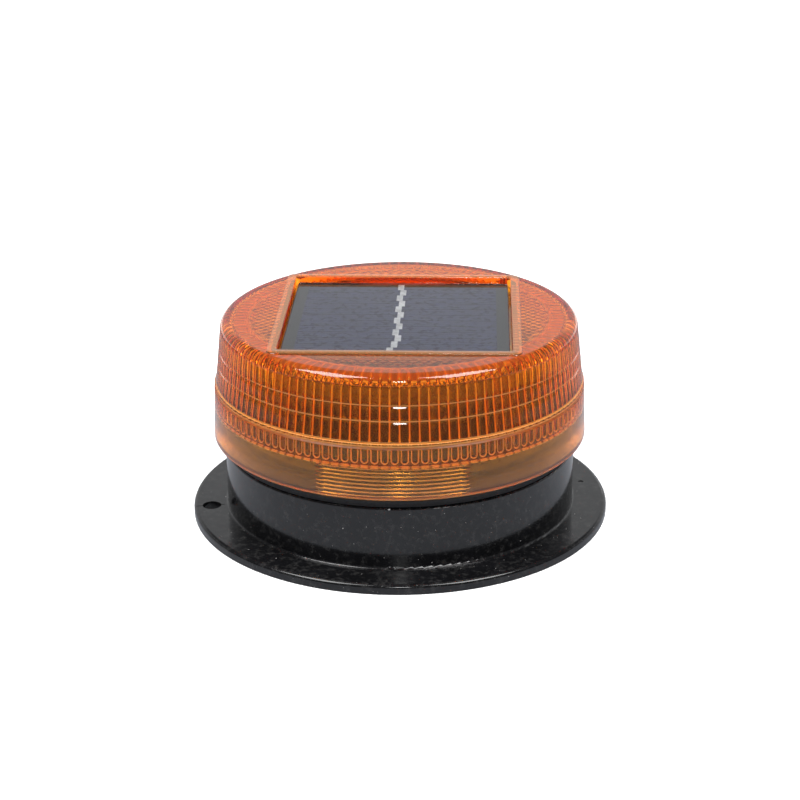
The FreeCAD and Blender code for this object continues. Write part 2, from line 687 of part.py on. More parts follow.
# ---- battery ----
def cell_rows():
    """(y, direction of the positive end) of each cell; the middle one is turned round."""
    return [(-AA_PITCH_Y, -1), (0.0, 1), (AA_PITCH_Y, -1)]


def battery_cells():
    half = CELL_AA_BODY_L / 2
    corners = [(0, -half, 0), (CELL_AA_R, -half, 0.7), (CELL_AA_R, half, 0.7), (CELL_AA_NUB_R, half, 0),
               (CELL_AA_NUB_R, half + CELL_AA_NUB_L, 0.3), (0, half + CELL_AA_NUB_L, 0)]
    cells = []
    for y, direction in cell_rows():
        one = turned(corners)
        one.rotate(ORIGIN, vec(0, 1, 0), 90 * direction)
        one.translate(vec(direction * CELL_SHIFT, y, AA_AXIS_Z))
        cells.append(one)
    return Part.makeCompound(cells)


def end_plate(side, y0, y1):
    """Nickelled plate that stands against one end wall of the bay."""
    x = side * (PLATE_X - CONTACT_T / 2)
    z0 = AA_AXIS_Z - CONTACT_H / 2
    middle = (x, (y0 + y1) / 2)
    return slab(CONTACT_T / 2, (y1 - y0) / 2, z0, z0 + CONTACT_H, 0.0, middle)


def contact_bridges():
    half = CONTACT_HALF_W
    plates = [end_plate(1, -AA_PITCH_Y - half, half), end_plate(-1, -half, AA_PITCH_Y + half)]
    pads = [flat_pad(1, 0.0), flat_pad(-1, AA_PITCH_Y)]
    return Part.makeCompound([plates[i].fuse(pads[i]).removeSplitter() for i in (0, 1)])


def flat_pad(side, y):
    """Raised pad that meets a cell's positive nub."""
    x_plate = PLATE_X - CONTACT_T / 2
    x_nub = CELL_SHIFT + CELL_AA_BODY_L / 2 + CELL_AA_NUB_L + 0.03
    ends = sorted((side * x_plate, side * x_nub))
    return rod_x(CONTACT_PAD_R, ends[0], ends[1], y, AA_AXIS_Z)


def contact_terminals():
    """The pack's two end plates, each with a solder tag that stands up through the bay's roof."""
    plates = []
    for side, y in ((-1, -AA_PITCH_Y), (1, AA_PITCH_Y)):
        plate = end_plate(side, y - CONTACT_HALF_W, y + CONTACT_HALF_W)
        tag_x = side * TAG_X
        foot_x = tag_x - 0.1 if side > 0 else tag_x - 0.4
        foot = Part.makeBox(0.5, TAG_W, 1.0, vec(foot_x, y - TAG_W / 2, TAG_BOTTOM_Z - 0.2))
        tag = Part.makeBox(CONTACT_T, TAG_W, TAG_H, vec(tag_x - CONTACT_T / 2, y - TAG_W / 2, TAG_BOTTOM_Z))
        plates.append(fused([plate, foot, tag]))
    plates[0] = plates[0].fuse(flat_pad(-1, -AA_PITCH_Y)).removeSplitter()
    return Part.makeCompound(plates)


def contact_springs():
    """Cone springs that press on the cells' negative ends."""
    gap = PLATE_X - CONTACT_T - (CELL_AA_BODY_L / 2 - CELL_SHIFT)
    height = gap - 2 * SPRING_WIRE_R - 0.1
    springs = []
    for y, direction in cell_rows():
        helix = Part.makeHelix(height / SPRING_TURNS, height, SPRING_R, SPRING_TAPER)
        start = helix.Edges[0].valueAt(helix.Edges[0].FirstParameter)
        tangent = helix.Edges[0].tangentAt(helix.Edges[0].FirstParameter)
        ring = Part.Wire(Part.makeCircle(SPRING_WIRE_R, start, tangent))
        one = Part.Wire(helix.Edges).makePipeShell([ring], True, True)
        one.rotate(ORIGIN, vec(0, 1, 0), 90 * direction)
        one.translate(vec(-direction * (PLATE_X - CONTACT_T - SPRING_WIRE_R - 0.05), y, AA_AXIS_Z))
        springs.append(one)
    return Part.makeCompound(springs)


def battery_lead(side):
    """Wire from a terminal's tag to the underside of the control board."""
    x = side * (TAG_X + CONTACT_T / 2 + WIRE_R + 0.05)
    y = side * AA_PITCH_Y
    return wire([(x, y, 21.8), (x, y, 25.0), (x + side * 3.0, y - side * 2.0, 27.2),
                 (x + side * 3.0, y - side * 2.0, BOARD_Z - 0.05)], 1.2)


def seal_ring(in_x, in_y, width, z0, height):
    outer = slab(in_x + width, in_y + width, z0, z0 + height, 3.0)
    return outer.cut(slab(in_x, in_y, z0 - 1, z0 + height + 1, 1.5))


def battery_door():
    door = slab(DOOR_X, DOOR_Y, DOOR_BOTTOM_Z, DOOR_TOP_Z, DOOR_CORNER_R - DOOR_GAP)
    hole_r = SMALL_SCREW_R + THROUGH_CLEARANCE
    tools = four_ways(rod(hole_r, 0.0, DOOR_TOP_Z + 1, DOOR_SCREW_X, DOOR_SCREW_Y))
    tools += four_ways(rod(SMALL_HEAD_R + 0.15, 0.0, DOOR_BOTTOM_Z + 1.2, DOOR_SCREW_X, DOOR_SCREW_Y))
    for i in range(DOOR_RIB_COUNT):
        y = (i - (DOOR_RIB_COUNT - 1) / 2) * DOOR_RIB_PITCH
        tools.append(slab(9.0, 0.6, 0.0, DOOR_BOTTOM_Z + 0.4, 0.5, (0, y)))
    return cut_all(door, tools)


def door_seal():
    return seal_ring(SEAL_IN_X, SEAL_IN_Y, SEAL_W, DOOR_TOP_Z, SEAL_H)


def door_screws():
    one = screw(SMALL_HEAD_R, 1.1, SMALL_SCREW_R, SMALL_SCREW_L)
    one.translate(vec(DOOR_SCREW_X, DOOR_SCREW_Y, DOOR_BOTTOM_Z + 1.2))
    return Part.makeCompound(four_ways(one))


# ---- power switch ----
def power_button():
    """Round push button with a retaining collar above its guide and a dished face."""
    z0 = BUTTON_BOTTOM_Z
    corners = [
        (0, z0 + 0.5, 0), (3.2, z0 + 0.35, 1.0), (4.6, z0, 0.3), (BUTTON_R, z0, 0.5),
        (BUTTON_R, COLLAR_BOTTOM_Z, 0), (COLLAR_R, COLLAR_BOTTOM_Z, 0.2),
        (COLLAR_R, COLLAR_TOP_Z, 0.2), (0, COLLAR_TOP_Z, 0)]
    button = turned(corners)
    button.translate(vec(0, SWITCH_Y, 0))
    return button


def switch_plunger():
    return rod(PLUNGER_R, COLLAR_TOP_Z + 0.02, SWITCH_BODY_Z + 2.0, 0, SWITCH_Y)


def button_spring():
    """Coil spring between the button's collar and the switch body."""
    wire_r = BUTTON_SPRING_WIRE_R
    z0 = COLLAR_TOP_Z + wire_r + 0.02
    height = SWITCH_BODY_Z - COLLAR_TOP_Z - 2 * wire_r - 0.04
    helix = Part.makeLongHelix(height / BUTTON_SPRING_TURNS, height, BUTTON_SPRING_R)
    edge = helix.Edges[0]
    start = edge.valueAt(edge.FirstParameter)
    ring = Part.Wire(Part.makeCircle(wire_r, start, edge.tangentAt(edge.FirstParameter)))
    spring = Part.Wire(helix.Edges).makePipeShell([ring], True, True)
    spring.translate(vec(0, SWITCH_Y, z0))
    return spring


def button_seal():
    slack = 0.02
    inner = BUTTON_R + BUTTON_CLEARANCE
    outer = BUTTON_SEAL_R - slack
    z0 = FINGER_DISH_DEPTH + slack
    z1 = FINGER_DISH_DEPTH + BUTTON_SEAL_H - slack
    ring = turned([(inner, z0, 0.3), (outer, z0, 0.3), (outer, z1, 0.3), (inner, z1, 0.3)])
    ring.translate(vec(0, SWITCH_Y, 0))
    return ring


def power_switch():
    half = SWITCH_BODY_SIDE / 2
    body = slab(half, half, SWITCH_BODY_Z, SWITCH_BODY_Z + SWITCH_BODY_H, 0.4, (0, SWITCH_Y))
    return body.cut(rod(PLUNGER_R + 0.1, SWITCH_BODY_Z - 1, SWITCH_BODY_Z + 5.5, 0, SWITCH_Y))


def switch_board():
    z0 = SWITCH_BOARD_Z
    board = slab(SWITCH_BOARD_X / 2, SWITCH_BOARD_Y / 2, z0, z0 + SWITCH_BOARD_T, 0.8, (0, SWITCH_Y))
    hole_r = SMALL_SCREW_R + THROUGH_CLEARANCE
    for side in (-1, 1):
        board = board.cut(rod(hole_r, z0 - 1, z0 + 3, side * SWITCH_POST_X, SWITCH_Y))
    return board


def switch_screws():
    z = SWITCH_BOARD_Z + SWITCH_BOARD_T
    return Part.makeCompound([screw_down(side * SWITCH_POST_X, SWITCH_Y, z) for side in (-1, 1)])


def switch_leads():
    z0 = SWITCH_BOARD_Z + SWITCH_BOARD_T + 0.05
    end_y = SWITCH_LEAD_END_Y
    leads = []
    for side in (-1, 1):
        x = side * SWITCH_LEAD_X
        path = [(x, SWITCH_Y, z0), (x, SWITCH_Y, z0 + 3.5), (x, end_y, z0 + 6.5), (x, end_y, BOARD_Z - 0.05)]
        leads.append(wire(path))
    return Part.makeCompound(leads)


# ---- one STEP file for each piece ----
save(base_housing(), "base_housing")
save(lens_dome(), "lens_dome")
save(dome_seal(), "dome_seal")
save(dome_screws(), "dome_screws")
save(panel_tape(), "panel_tape")
save(panel_board(), "panel_board")
save(solar_cells(), "solar_cells")
save(cell_ribbon(), "cell_ribbon")
save(panel_resin(), "panel_resin")
save(panel_lead(1), "panel_lead_red")
save(panel_lead(-1), "panel_lead_black")
save(panel_socket(), "panel_socket")
save(panel_plug(), "panel_plug")
save(control_board(), "control_board")
save(board_screws(), "board_screws")
save(led_holder(), "led_holder")
save(holder_screws(), "holder_screws")
save(led_lamps(), "led_lamps")
save(led_leads(), "led_leads")
save(control_chip(), "control_chip")
save(charge_coil_core(), "charge_coil_core")
save(charge_coil_winding(), "charge_coil_winding")
save(storage_capacitor(), "storage_capacitor")
save(driver_transistors(), "driver_transistors")
save(chip_resistors(), "chip_resistors")
save(battery_cells(), "battery_cells")
save(contact_springs(), "contact_springs")
save(contact_bridges(), "contact_bridges")
save(contact_terminals(), "contact_terminals")
save(battery_lead(-1), "battery_lead_red")
save(battery_lead(1), "battery_lead_black")
save(battery_door(), "battery_door")
save(door_seal(), "door_seal")
save(door_screws(), "door_screws")
save(power_button(), "power_button")
save(switch_plunger(), "switch_plunger")
save(button_spring(), "button_spring")
save(button_seal(), "button_seal")
save(power_switch(), "power_switch")
save(switch_board(), "switch_board")
save(switch_screws(), "switch_screws")
save(switch_leads(), "switch_leads")
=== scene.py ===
"""Looks for the solar barricade warning light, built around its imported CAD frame.

The lens, the panel's poured face and the button spring are rebuilt as meshes, and every other CAD node
keeps its shape. Each of them gets a procedural material. The mesh code and the materials work in
millimetres, and the meshes are scaled to metres at the end.
"""

import math

import bpy
import numpy as np
from mathutils import Matrix, Vector
from mathutils.geometry import delaunay_2d_cdt


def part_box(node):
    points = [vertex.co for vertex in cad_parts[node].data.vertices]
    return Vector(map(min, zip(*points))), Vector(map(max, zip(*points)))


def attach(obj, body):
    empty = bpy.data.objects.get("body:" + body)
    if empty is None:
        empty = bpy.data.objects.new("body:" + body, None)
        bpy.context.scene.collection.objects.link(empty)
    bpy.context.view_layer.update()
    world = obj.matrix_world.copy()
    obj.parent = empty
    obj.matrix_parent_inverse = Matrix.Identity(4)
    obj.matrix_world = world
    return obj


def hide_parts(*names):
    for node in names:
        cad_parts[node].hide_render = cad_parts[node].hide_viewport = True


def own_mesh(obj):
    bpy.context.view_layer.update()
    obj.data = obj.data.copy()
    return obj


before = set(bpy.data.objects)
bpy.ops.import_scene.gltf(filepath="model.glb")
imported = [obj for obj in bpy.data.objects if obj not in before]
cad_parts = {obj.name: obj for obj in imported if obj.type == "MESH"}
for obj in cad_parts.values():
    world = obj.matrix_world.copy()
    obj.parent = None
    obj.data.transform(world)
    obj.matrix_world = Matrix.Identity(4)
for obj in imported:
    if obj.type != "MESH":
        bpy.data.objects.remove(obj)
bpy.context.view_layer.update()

MM = 0.001


def box_mm(node):
    """A node's lowest and highest corners at rest, in millimetres to a micron."""
    return [tuple(round(value / MM, 3) for value in corner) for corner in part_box(node)]


(_, _, LIP_Z), (_, _, TOP_Z) = box_mm("lens_dome")
PANEL_HALF = box_mm("panel_resin")[1][0]
POCKET_FLOOR_Z = box_mm("panel_tape")[0][2]

# ---- lens sizes, in millimetres ----
LENS_R = 59.9
ROOF_Z = TOP_Z - 0.5
RIM_R = 3.2
RIM_FOOT = (56.85, 62.5)
LIP_INNER_ROUND = 0.3
LIP_OUTER_ROUND = 0.5
SKIRT_OUTSIDE = ((59.7, 33.0), (59.5, 38.6), (59.33, 43.2))
STEP_Z = 44.0
BEAD_R = 59.2
LOW_NOTCH_R = 58.86
HIGH_NOTCH_R = 58.5
BAND_FEET = ((58.7, 45.9), (57.95, 52.4), (57.46, 57.2))
GROOVES = ((58.0, 51.9), (57.5, 56.7))
GROOVE_DEPTH = 0.22
GROOVE_HALF_W = 0.24
SHOULDER_H = 0.55
SHOULDER_DROP = 0.26

SKIRT_INNER_R = 57.4
SKIRT_TAPER = 0.15
RIB_COUNT = 7
RIB_PITCH = 1.25
RIB_FIRST_Z = 28.1
RIB_DEPTH = 0.42
RIB_HALF_ANGLE = 22.2
LEDGE_Z = 37.3
LEDGE_FOOT_Z = LEDGE_Z - 0.15
LEDGE_DROP = 0.36
LEDGE_RINGS = ((SKIRT_INNER_R + 0.1, 0.0), (57.1, 0.25), (56.7, 0.3))

FLUTES = 120
FLUTE_TURN = math.radians(-0.6)
FLUTE_PITCH = 2 * math.pi * 56.0 / FLUTES
WIDE_COLUMNS = 240
CORNER_STEPS = 8
FINE_U = (0.0, 0.07, 0.09, 0.12, 0.17, 0.25, 0.5, 0.75, 0.83, 0.88, 0.91, 0.93)
BAR_SHARE = 0.86
BAR_FOOT_SHARE = 0.68
BAR_FOOT_Z = 44.2
BAR_WIDENING = 0.8
BAR_HEIGHT = 0.6
BAR_POWER = 3.0
BAR_LOW_Z = 38.3
BAR_START_Z = BAR_LOW_Z - 0.35
BAR_TOP_R = 48.2
WALL_FOOT_R = 56.62
WALL_FOOT_STEPS = (0.0, 0.3, 0.38, 0.5, 0.7, 1.0, 1.39)
WALL_LINE = ((56.52, 43.9), (56.5, 44.4), (56.4, 45.0), (55.85, 48.2), (55.2, 51.9), (54.95, 53.8),
             (54.62, 56.7), (54.35, 59.0))
UNDERSIDE_Z = 63.0
FILLET_R = 2.0
FILLET_END_R = 52.05
BAR_TOP_SHARES = (0.25, 0.5, 0.68, 0.78, 0.86, 0.92, 0.96, 0.985, 1.0)

PRISM_PITCH = 2.15
PRISM_HEIGHT = 0.4
PRISM_EDGE = 0.45
PRISM_LINK_EDGE = 0.2
PRISM_GAP = 0.3
FRAME_HALF = 38.55
FRAME_CORNER_R = 2.4
POCKET_HALF = PANEL_HALF + 0.75
POCKET_CORNER_R = 1.2
TRAY_HALF = 37.45
TRAY_CORNER_R = 5.0
TRAY_CLEARANCE = 0.45
TRAY_UNDER_Z = 59.1
LEAD_HOLE_R = 4.0
LEAD_HOLE_ROUND = 0.2
POST_PLACE = 32.5
POST_R = 3.75
POST_FOOT_Z = 30.0
PILOT_R = 1.55
PILOT_TOP_Z = 42.0
POST_COLUMNS = 32

# ---- where light is painted on the lens as cloudy lines, rings and bands, in millimetres ----
INSIDE_FADE = (56.95, 56.8)
OUTSIDE_FADE = (57.0, 57.1)
WALL_FOOT_FADE = (43.8, 44.4)
WALL_TOP_FADE = (61.5, 61.0)
TOP_BAND_FADE = (56.2, 57.2)
GAP_LINE = (1.18, 1.3)
FOOT_LINE = (0.26, 0.14)
FOOT_ROUND = BAR_FOOT_SHARE / 2 * FLUTE_PITCH
LEDGE_LINE = (1.3, 0.7)
FRAME_TOP_FADE = (TOP_Z - 0.45, TOP_Z - 0.35)
SKIRT_RINGS = ((STEP_Z + 1.35, 0.42, 0.95), (STEP_Z + 0.45, 0.2, 0.7), (LIP_Z + 0.2, 0.3, 0.35))
GROOVE_RINGS = ((51.95, 0.3, 0.9), (56.75, 0.28, 0.85))

# ---- other rebuilt pieces, in millimetres ----
RESIN_CORNER_R = 1.2
RESIN_SUNK = 0.04
SPRING_WIRE_R = 0.25
SPRING_TURNS = 3
SPRING_STEPS = 48
SPRING_COLUMNS = 12

# ---- patterns of the small parts, in millimetres ----
COLLECTOR_PITCH = 1.85
COLLECTOR_SHARE = 0.07
WEAVE_TURNS = 9.0
WINDING_PITCH = 0.45
SLEEVE_RING_X = 12.0


# ---- lens mesh ----
class Sheet:
    """Vertices and faces gathered row by row, closed into one mesh at the end."""

    def __init__(self):
        self.points = []
        self.faces = []

    def row(self, points):
        first = len(self.points)
        self.points.extend(points)
        return list(range(first, first + len(points)))

    def band(self, a, b):
        """Quads between two closed rows; the second may have a whole number of times more points."""
        count = len(a)
        ratio = len(b) // count
        for i in range(count):
            j = (i + 1) % count
            fine = [b[(i * ratio + k) % len(b)] for k in range(ratio + 1)]
            if ratio == 1:
                self.faces.append((a[i], a[j], fine[1], fine[0]))
                continue
            middle = ratio // 2
            for k in range(ratio):
                apex = a[i] if k <= middle else a[j]
                if k == middle:
                    self.faces.append((a[i], a[j], fine[k + 1], fine[k]))
                else:
                    self.faces.append((apex, fine[k + 1], fine[k]))

    def bands(self, rows):
        for a, b in zip(rows, rows[1:]):
            self.band(a, b)

    def tube(self, rows):
        """Bands between the rows, and a flat face at each end."""
        self.bands(rows)
        self.faces.append(tuple(rows[-1]))
        self.faces.append(tuple(reversed(rows[0])))


def make_piece(sheet, name, crisp):
    """The sheet as a smooth object in metres, with edges sharper than an angle in degrees kept crisp."""
    mesh = bpy.data.meshes.new(name)
    mesh.from_pydata((np.array(sheet.points) * MM).tolist(), [], sheet.faces)
    mesh.validate()
    mesh.polygons.foreach_set("use_smooth", [True] * len(mesh.polygons))
    mesh.set_sharp_from_angle(angle=math.radians(crisp))
    piece = bpy.data.objects.new(name, mesh)
    bpy.context.scene.collection.objects.link(piece)
    return piece


def place_at(radius, angle, z):
    return (radius * math.cos(angle), radius * math.sin(angle), z)


def circle(radius, z, count=WIDE_COLUMNS, turn=FLUTE_TURN):
    return [place_at(radius, turn + 2 * math.pi * i / count, z) for i in range(count)]


def square_loop(half, corner, z, grown=0.0):
    """Rounded square grown by a margin, counter-clockwise from the middle of its +X side."""
    flat = half - corner
    half, corner = half + grown, corner + grown
    side_steps = (WIDE_COLUMNS // 4 - CORNER_STEPS) // 2
    first = [(half, flat * i / side_steps) for i in range(side_steps)]
    for i in range(CORNER_STEPS):
        a = math.pi / 2 * i / CORNER_STEPS
        first.append((flat + corner * math.cos(a), flat + corner * math.sin(a)))
    first += [(flat * (1 - i / side_steps), half) for i in range(side_steps)]
    loop = []
    for cos, sin in ((1, 0), (0, 1), (-1, 0), (0, -1)):
        loop += [(cos * x - sin * y, sin * x + cos * y, z) for x, y in first]
    return loop


def arc(cr, cz, radius, a0, a1, steps):
    """Points on a profile arc, angles in degrees from the outward direction."""
    return [(cr + radius * math.cos(math.radians(a0 + (a1 - a0) * i / steps)),
             cz + radius * math.sin(math.radians(a0 + (a1 - a0) * i / steps))) for i in range(steps + 1)]


def straight(r0, z0, r1, z1, steps):
    return [(r0 + (r1 - r0) * i / steps, z0 + (z1 - z0) * i / steps) for i in range(steps + 1)]


def round_rise(u):
    """How far a round of radius 1 has curved away at u from its middle, from 0 at 0 to 1 at 1."""
    return 1 - math.sqrt(max(0.0, 1 - u * u))


def band_with_shoulder(r0, z0, r1, z1):
    """One band between grooves: straight, with a sloping shoulder at its top."""
    p = straight(r0, z0, r1, z1 - SHOULDER_H - 0.15, 4)
    for share in (0.0, 0.1, 0.5, 0.9, 1.0):
        p.append((r1 - 0.04 - share * SHOULDER_DROP, z1 - SHOULDER_H * (1 - share)))
    return p


def groove(r, z):
    """Narrow ring groove, steep enough for its edges to stay crisp."""
    return [(r - GROOVE_DEPTH, z - 0.04), (r - GROOVE_DEPTH, z + 0.04), (r, z + GROOVE_HALF_W)]


def bead():
    """Raised ring between the skirt and the lowest band, with a notch under it and one over it."""
    p = [(BEAD_R + 0.08, STEP_Z - 0.5), (BEAD_R - 0.02, STEP_Z - 0.3), (LOW_NOTCH_R, STEP_Z - 0.08)]
    p += [(LOW_NOTCH_R, STEP_Z), (BEAD_R, STEP_Z + 0.24), (BEAD_R, STEP_Z + 0.66)]
    p += [(BEAD_R - 0.08, STEP_Z + 0.86), (HIGH_NOTCH_R + 0.16, STEP_Z + 1.12)]
    p += [(HIGH_NOTCH_R, STEP_Z + 1.22), (HIGH_NOTCH_R, STEP_Z + 1.3), (HIGH_NOTCH_R + 0.26, STEP_Z + 1.6)]
    return p


def outer_profile():
    """Outside of the lens from inside the lip, under it and up to the start of the flat top."""
    inner, outer = LIP_INNER_ROUND, LIP_OUTER_ROUND
    p = arc(SKIRT_INNER_R + inner, LIP_Z + inner, inner, 180, 270, 3)
    p += arc(LENS_R - outer, LIP_Z + outer, outer, 270, 360, 5)
    p += [*SKIRT_OUTSIDE, *bead()]
    for foot, (r, z) in zip(BAND_FEET, GROOVES):
        p += band_with_shoulder(*foot, r + 0.05, z - GROOVE_HALF_W) + groove(r, z)
    p += straight(*BAND_FEET[-1], *RIM_FOOT, 6)
    p += arc(RIM_FOOT[0] - RIM_R, ROOF_Z - RIM_R, RIM_R, 2, 90, 12)
    return p


def rib_offset(z, angle):
    """Depth of the horizontal ribs cut into the inside of the skirt at the front."""
    from_front = abs((math.degrees(angle) + 90 + 180) % 360 - 180)
    t = (z - RIB_FIRST_Z) / RIB_PITCH
    if from_front > RIB_HALF_ANGLE or not 0 <= t <= RIB_COUNT:
        return 0.0
    return RIB_DEPTH * round_rise(2 * (t % 1.0) - 1)


def skirt_rows(sheet):
    """Inside of the skirt, from the lip up to the ledge."""
    steps = 6
    low = LIP_Z + LIP_INNER_ROUND
    heights = [low, low + 0.3]
    heights += [RIB_FIRST_Z + RIB_PITCH * (k + s / steps) for k in range(RIB_COUNT) for s in range(steps)]
    heights += [RIB_FIRST_Z + RIB_PITCH * RIB_COUNT, LEDGE_FOOT_Z]
    rows = []
    for z in heights:
        radius = SKIRT_INNER_R + SKIRT_TAPER * (z - low) / (LEDGE_Z - low)
        ring = []
        for x, y, _ in circle(1.0, z):
            r = radius + rib_offset(z, math.atan2(y, x))
            ring.append((x * r, y * r, z))
        rows.append(sheet.row(ring))
    return rows


def tray_reach(angle):
    """Distance from the axis to the tray's outer wall in one direction."""
    x, y = abs(math.cos(angle)), abs(math.sin(angle))
    x, y = max(x, y), min(x, y)
    flat = TRAY_HALF - TRAY_CORNER_R
    reach = TRAY_HALF / x
    if reach * y <= flat:
        return reach
    middle = flat * (x + y)
    return middle + math.sqrt(middle * middle - 2 * flat * flat + TRAY_CORNER_R ** 2)


def bar_end(angle):
    """Where the bars stop on the underside: on a circle, pushed out round the tray's corners."""
    return max(BAR_TOP_R, tray_reach(angle) + TRAY_CLEARANCE)


def bar_profile():
    """Base line of the fluted wall, from ledge to underside, as (r, z, inward r, inward z, distance)."""
    line = [(WALL_FOOT_R, BAR_START_Z + dz) for dz in WALL_FOOT_STEPS]
    line += [*WALL_LINE, *arc(FILLET_END_R, UNDERSIDE_Z - FILLET_R, FILLET_R, 0, 90, 8)]
    out = []
    travelled = 0.0
    for i, (r, z) in enumerate(line):
        before = line[max(i - 1, 0)]
        after = line[min(i + 1, len(line) - 1)]
        dr, dz = after[0] - before[0], after[1] - before[1]
        length = math.hypot(dr, dz)
        if i:
            travelled += math.hypot(r - before[0], z - before[1])
        out.append((r, z, -dz / length, dr / length, travelled))
    return out


def bar_height(u, distance, total, radius):
    """Height of the round-ended bar at a place across (u, 0 to 1) and along it; its foot is narrower."""
    foot = min(max((distance - (BAR_FOOT_Z - BAR_START_Z)) / BAR_WIDENING, 0.0), 1.0)
    share = BAR_FOOT_SHARE + (BAR_SHARE - BAR_FOOT_SHARE) * foot
    pitch = 2 * math.pi * radius / FLUTES
    half_width = share / 2 * pitch
    across = abs(u - 0.5) * pitch
    low_end = BAR_LOW_Z - BAR_START_Z + half_width
    high_end = total - half_width
    along = max(low_end - distance, distance - high_end, 0.0)
    s = math.hypot(across, along) / half_width
    if s >= 1:
        return 0.0
    return BAR_HEIGHT * (1 - s ** BAR_POWER) ** (1 / BAR_POWER)


def fluted_rows(sheet):
    """Ledge with its scallops, then the fluted wall up and over on to the underside of the top."""
    rows = []
    turns = [n + u for n in range(FLUTES) for u in FINE_U]
    angles = [FLUTE_TURN + 2 * math.pi * t / FLUTES for t in turns]
    for radius, lift in LEDGE_RINGS:
        ring = []
        for t, a in zip(turns, angles):
            scallop = LEDGE_DROP * round_rise((t % 1.0 - 0.5) * 2)
            ring.append(place_at(radius, a, LEDGE_FOOT_Z + lift + scallop))
        rows.append(sheet.row(ring))
    profile = bar_profile()
    ends = [bar_end(a) for a in angles]
    wall_length = profile[-1][-1]
    for r, z, inward_r, inward_z, distance in profile:
        ring = []
        for t, a, end in zip(turns, angles, ends):
            h = bar_height(t % 1.0, distance, wall_length + FILLET_END_R - end, r)
            ring.append(place_at(r + inward_r * h, a, z + inward_z * h))
        rows.append(sheet.row(ring))
    for share in BAR_TOP_SHARES:
        ring = []
        for t, a, end in zip(turns, angles, ends):
            way = share * (FILLET_END_R - end)
            h = bar_height(t % 1.0, wall_length + way, wall_length + FILLET_END_R - end, end)
            ring.append(place_at(FILLET_END_R - way, a, UNDERSIDE_Z - h))
        rows.append(sheet.row(ring))
    return rows


def prism_edge(angle):
    """Distance from the axis to the prisms' outer edge in one direction."""
    return bar_end(angle) - PRISM_GAP


def in_ring(x, y, margin):
    """True between the tray's rounded square and the prisms' outer edge, clear of both by the margin."""
    if math.hypot(x, y) > prism_edge(math.atan2(y, x)) - margin:
        return False
    ax, ay = abs(x), abs(y)
    flat = TRAY_HALF - TRAY_CORNER_R
    if ax > flat and ay > flat:
        return math.hypot(ax - flat, ay - flat) > TRAY_CORNER_R + margin
    return max(ax, ay) > TRAY_HALF + margin


def orient_down(points, face):
    """The face, wound so that it looks down."""
    a, b, c = (points[i] for i in face[:3])
    up = (b[0] - a[0]) * (c[1] - a[1]) - (b[1] - a[1]) * (c[0] - a[0])
    return tuple(reversed(face)) if up > 0 else tuple(face)


def loop_edges(first, count):
    return [(first + i, first + (i + 1) % count) for i in range(count)]


def prism_area(sheet, outer_row, inner_row):
    """Square pyramids turned 45 degrees, between the tray and the fluted edge."""
    step = PRISM_PITCH / math.sqrt(2)
    reach = int(FILLET_END_R / step) + 1
    known = outer_row + inner_row
    coords = [Vector(sheet.points[i][:2]) for i in known]
    spots = {}
    heights = []
    for k in range(-reach, reach + 1):
        for m in range(-reach, reach + 1):
            if in_ring(k * step, m * step, PRISM_EDGE):
                spots[(k, m)] = len(coords)
                coords.append(Vector((k * step, m * step)))
                heights.append(PRISM_HEIGHT if (k + m) % 2 == 0 else 0.0)
    edges = loop_edges(0, len(outer_row)) + loop_edges(len(outer_row), len(inner_row))
    for (k, m), index in spots.items():
        links = [(1, 0), (0, 1)]
        if (k + m) % 2:
            links += [(1, 1), (1, -1)]
        for dk, dm in links:
            other = spots.get((k + dk, m + dm))
            if other is not None and in_ring((k + dk / 2) * step, (m + dm / 2) * step, PRISM_LINK_EDGE):
                edges.append((index, other))
    places, _, faces, sources, _, _ = delaunay_2d_cdt(coords, edges, [], 0, 1e-5)
    corners = []
    for source, *_ in sources:
        if source < len(known):
            corners.append(known[source])
        else:
            corners += sheet.row([(*coords[source], UNDERSIDE_Z - heights[source - len(known)])])
    for face in faces:
        cx = sum(places[i][0] for i in face) / len(face)
        cy = sum(places[i][1] for i in face) / len(face)
        if in_ring(cx, cy, -0.03):
            sheet.faces.append(orient_down(sheet.points, [corners[i] for i in face]))


def roof_loops(rim):
    """Loops from the rim over the frame, down the pocket, through the lead hole and round the tray."""
    frame_side = [(0.12, -0.5), (0.0, -0.38), (0.0, -0.2), (-0.07, -0.06), (-0.2, 0.0)]
    pocket_side = [(0.25, TOP_Z), (0.08, TOP_Z - 0.08), (0.0, TOP_Z - 0.25), (0.0, POCKET_FLOOR_Z)]
    hole_side = [(LEAD_HOLE_ROUND, POCKET_FLOOR_Z), (0.0, POCKET_FLOOR_Z - LEAD_HOLE_ROUND)]
    hole_side += [(0.0, TRAY_UNDER_Z + LEAD_HOLE_ROUND), (LEAD_HOLE_ROUND, TRAY_UNDER_Z)]
    tray_side = [(-0.4, 0.0), (-0.1, 0.1), (0.0, 0.4)]
    frame_loops = [square_loop(FRAME_HALF, FRAME_CORNER_R, TOP_Z + dz, grown) for grown, dz in frame_side]
    loops = []
    for share in (0.12, 0.5, 0.9):
        loops.append([tuple(p + (q - p) * share for p, q in zip(a, b)) for a, b in zip(rim, frame_loops[0])])
    loops += frame_loops
    loops += [square_loop(POCKET_HALF, POCKET_CORNER_R, z, grown) for grown, z in pocket_side]
    loops += [circle(LEAD_HOLE_R + grown, z) for grown, z in hole_side]
    loops += [square_loop(TRAY_HALF, TRAY_CORNER_R, TRAY_UNDER_Z + dz, grown) for grown, dz in tray_side]
    loops.append(square_loop(TRAY_HALF, TRAY_CORNER_R, UNDERSIDE_Z))
    return loops


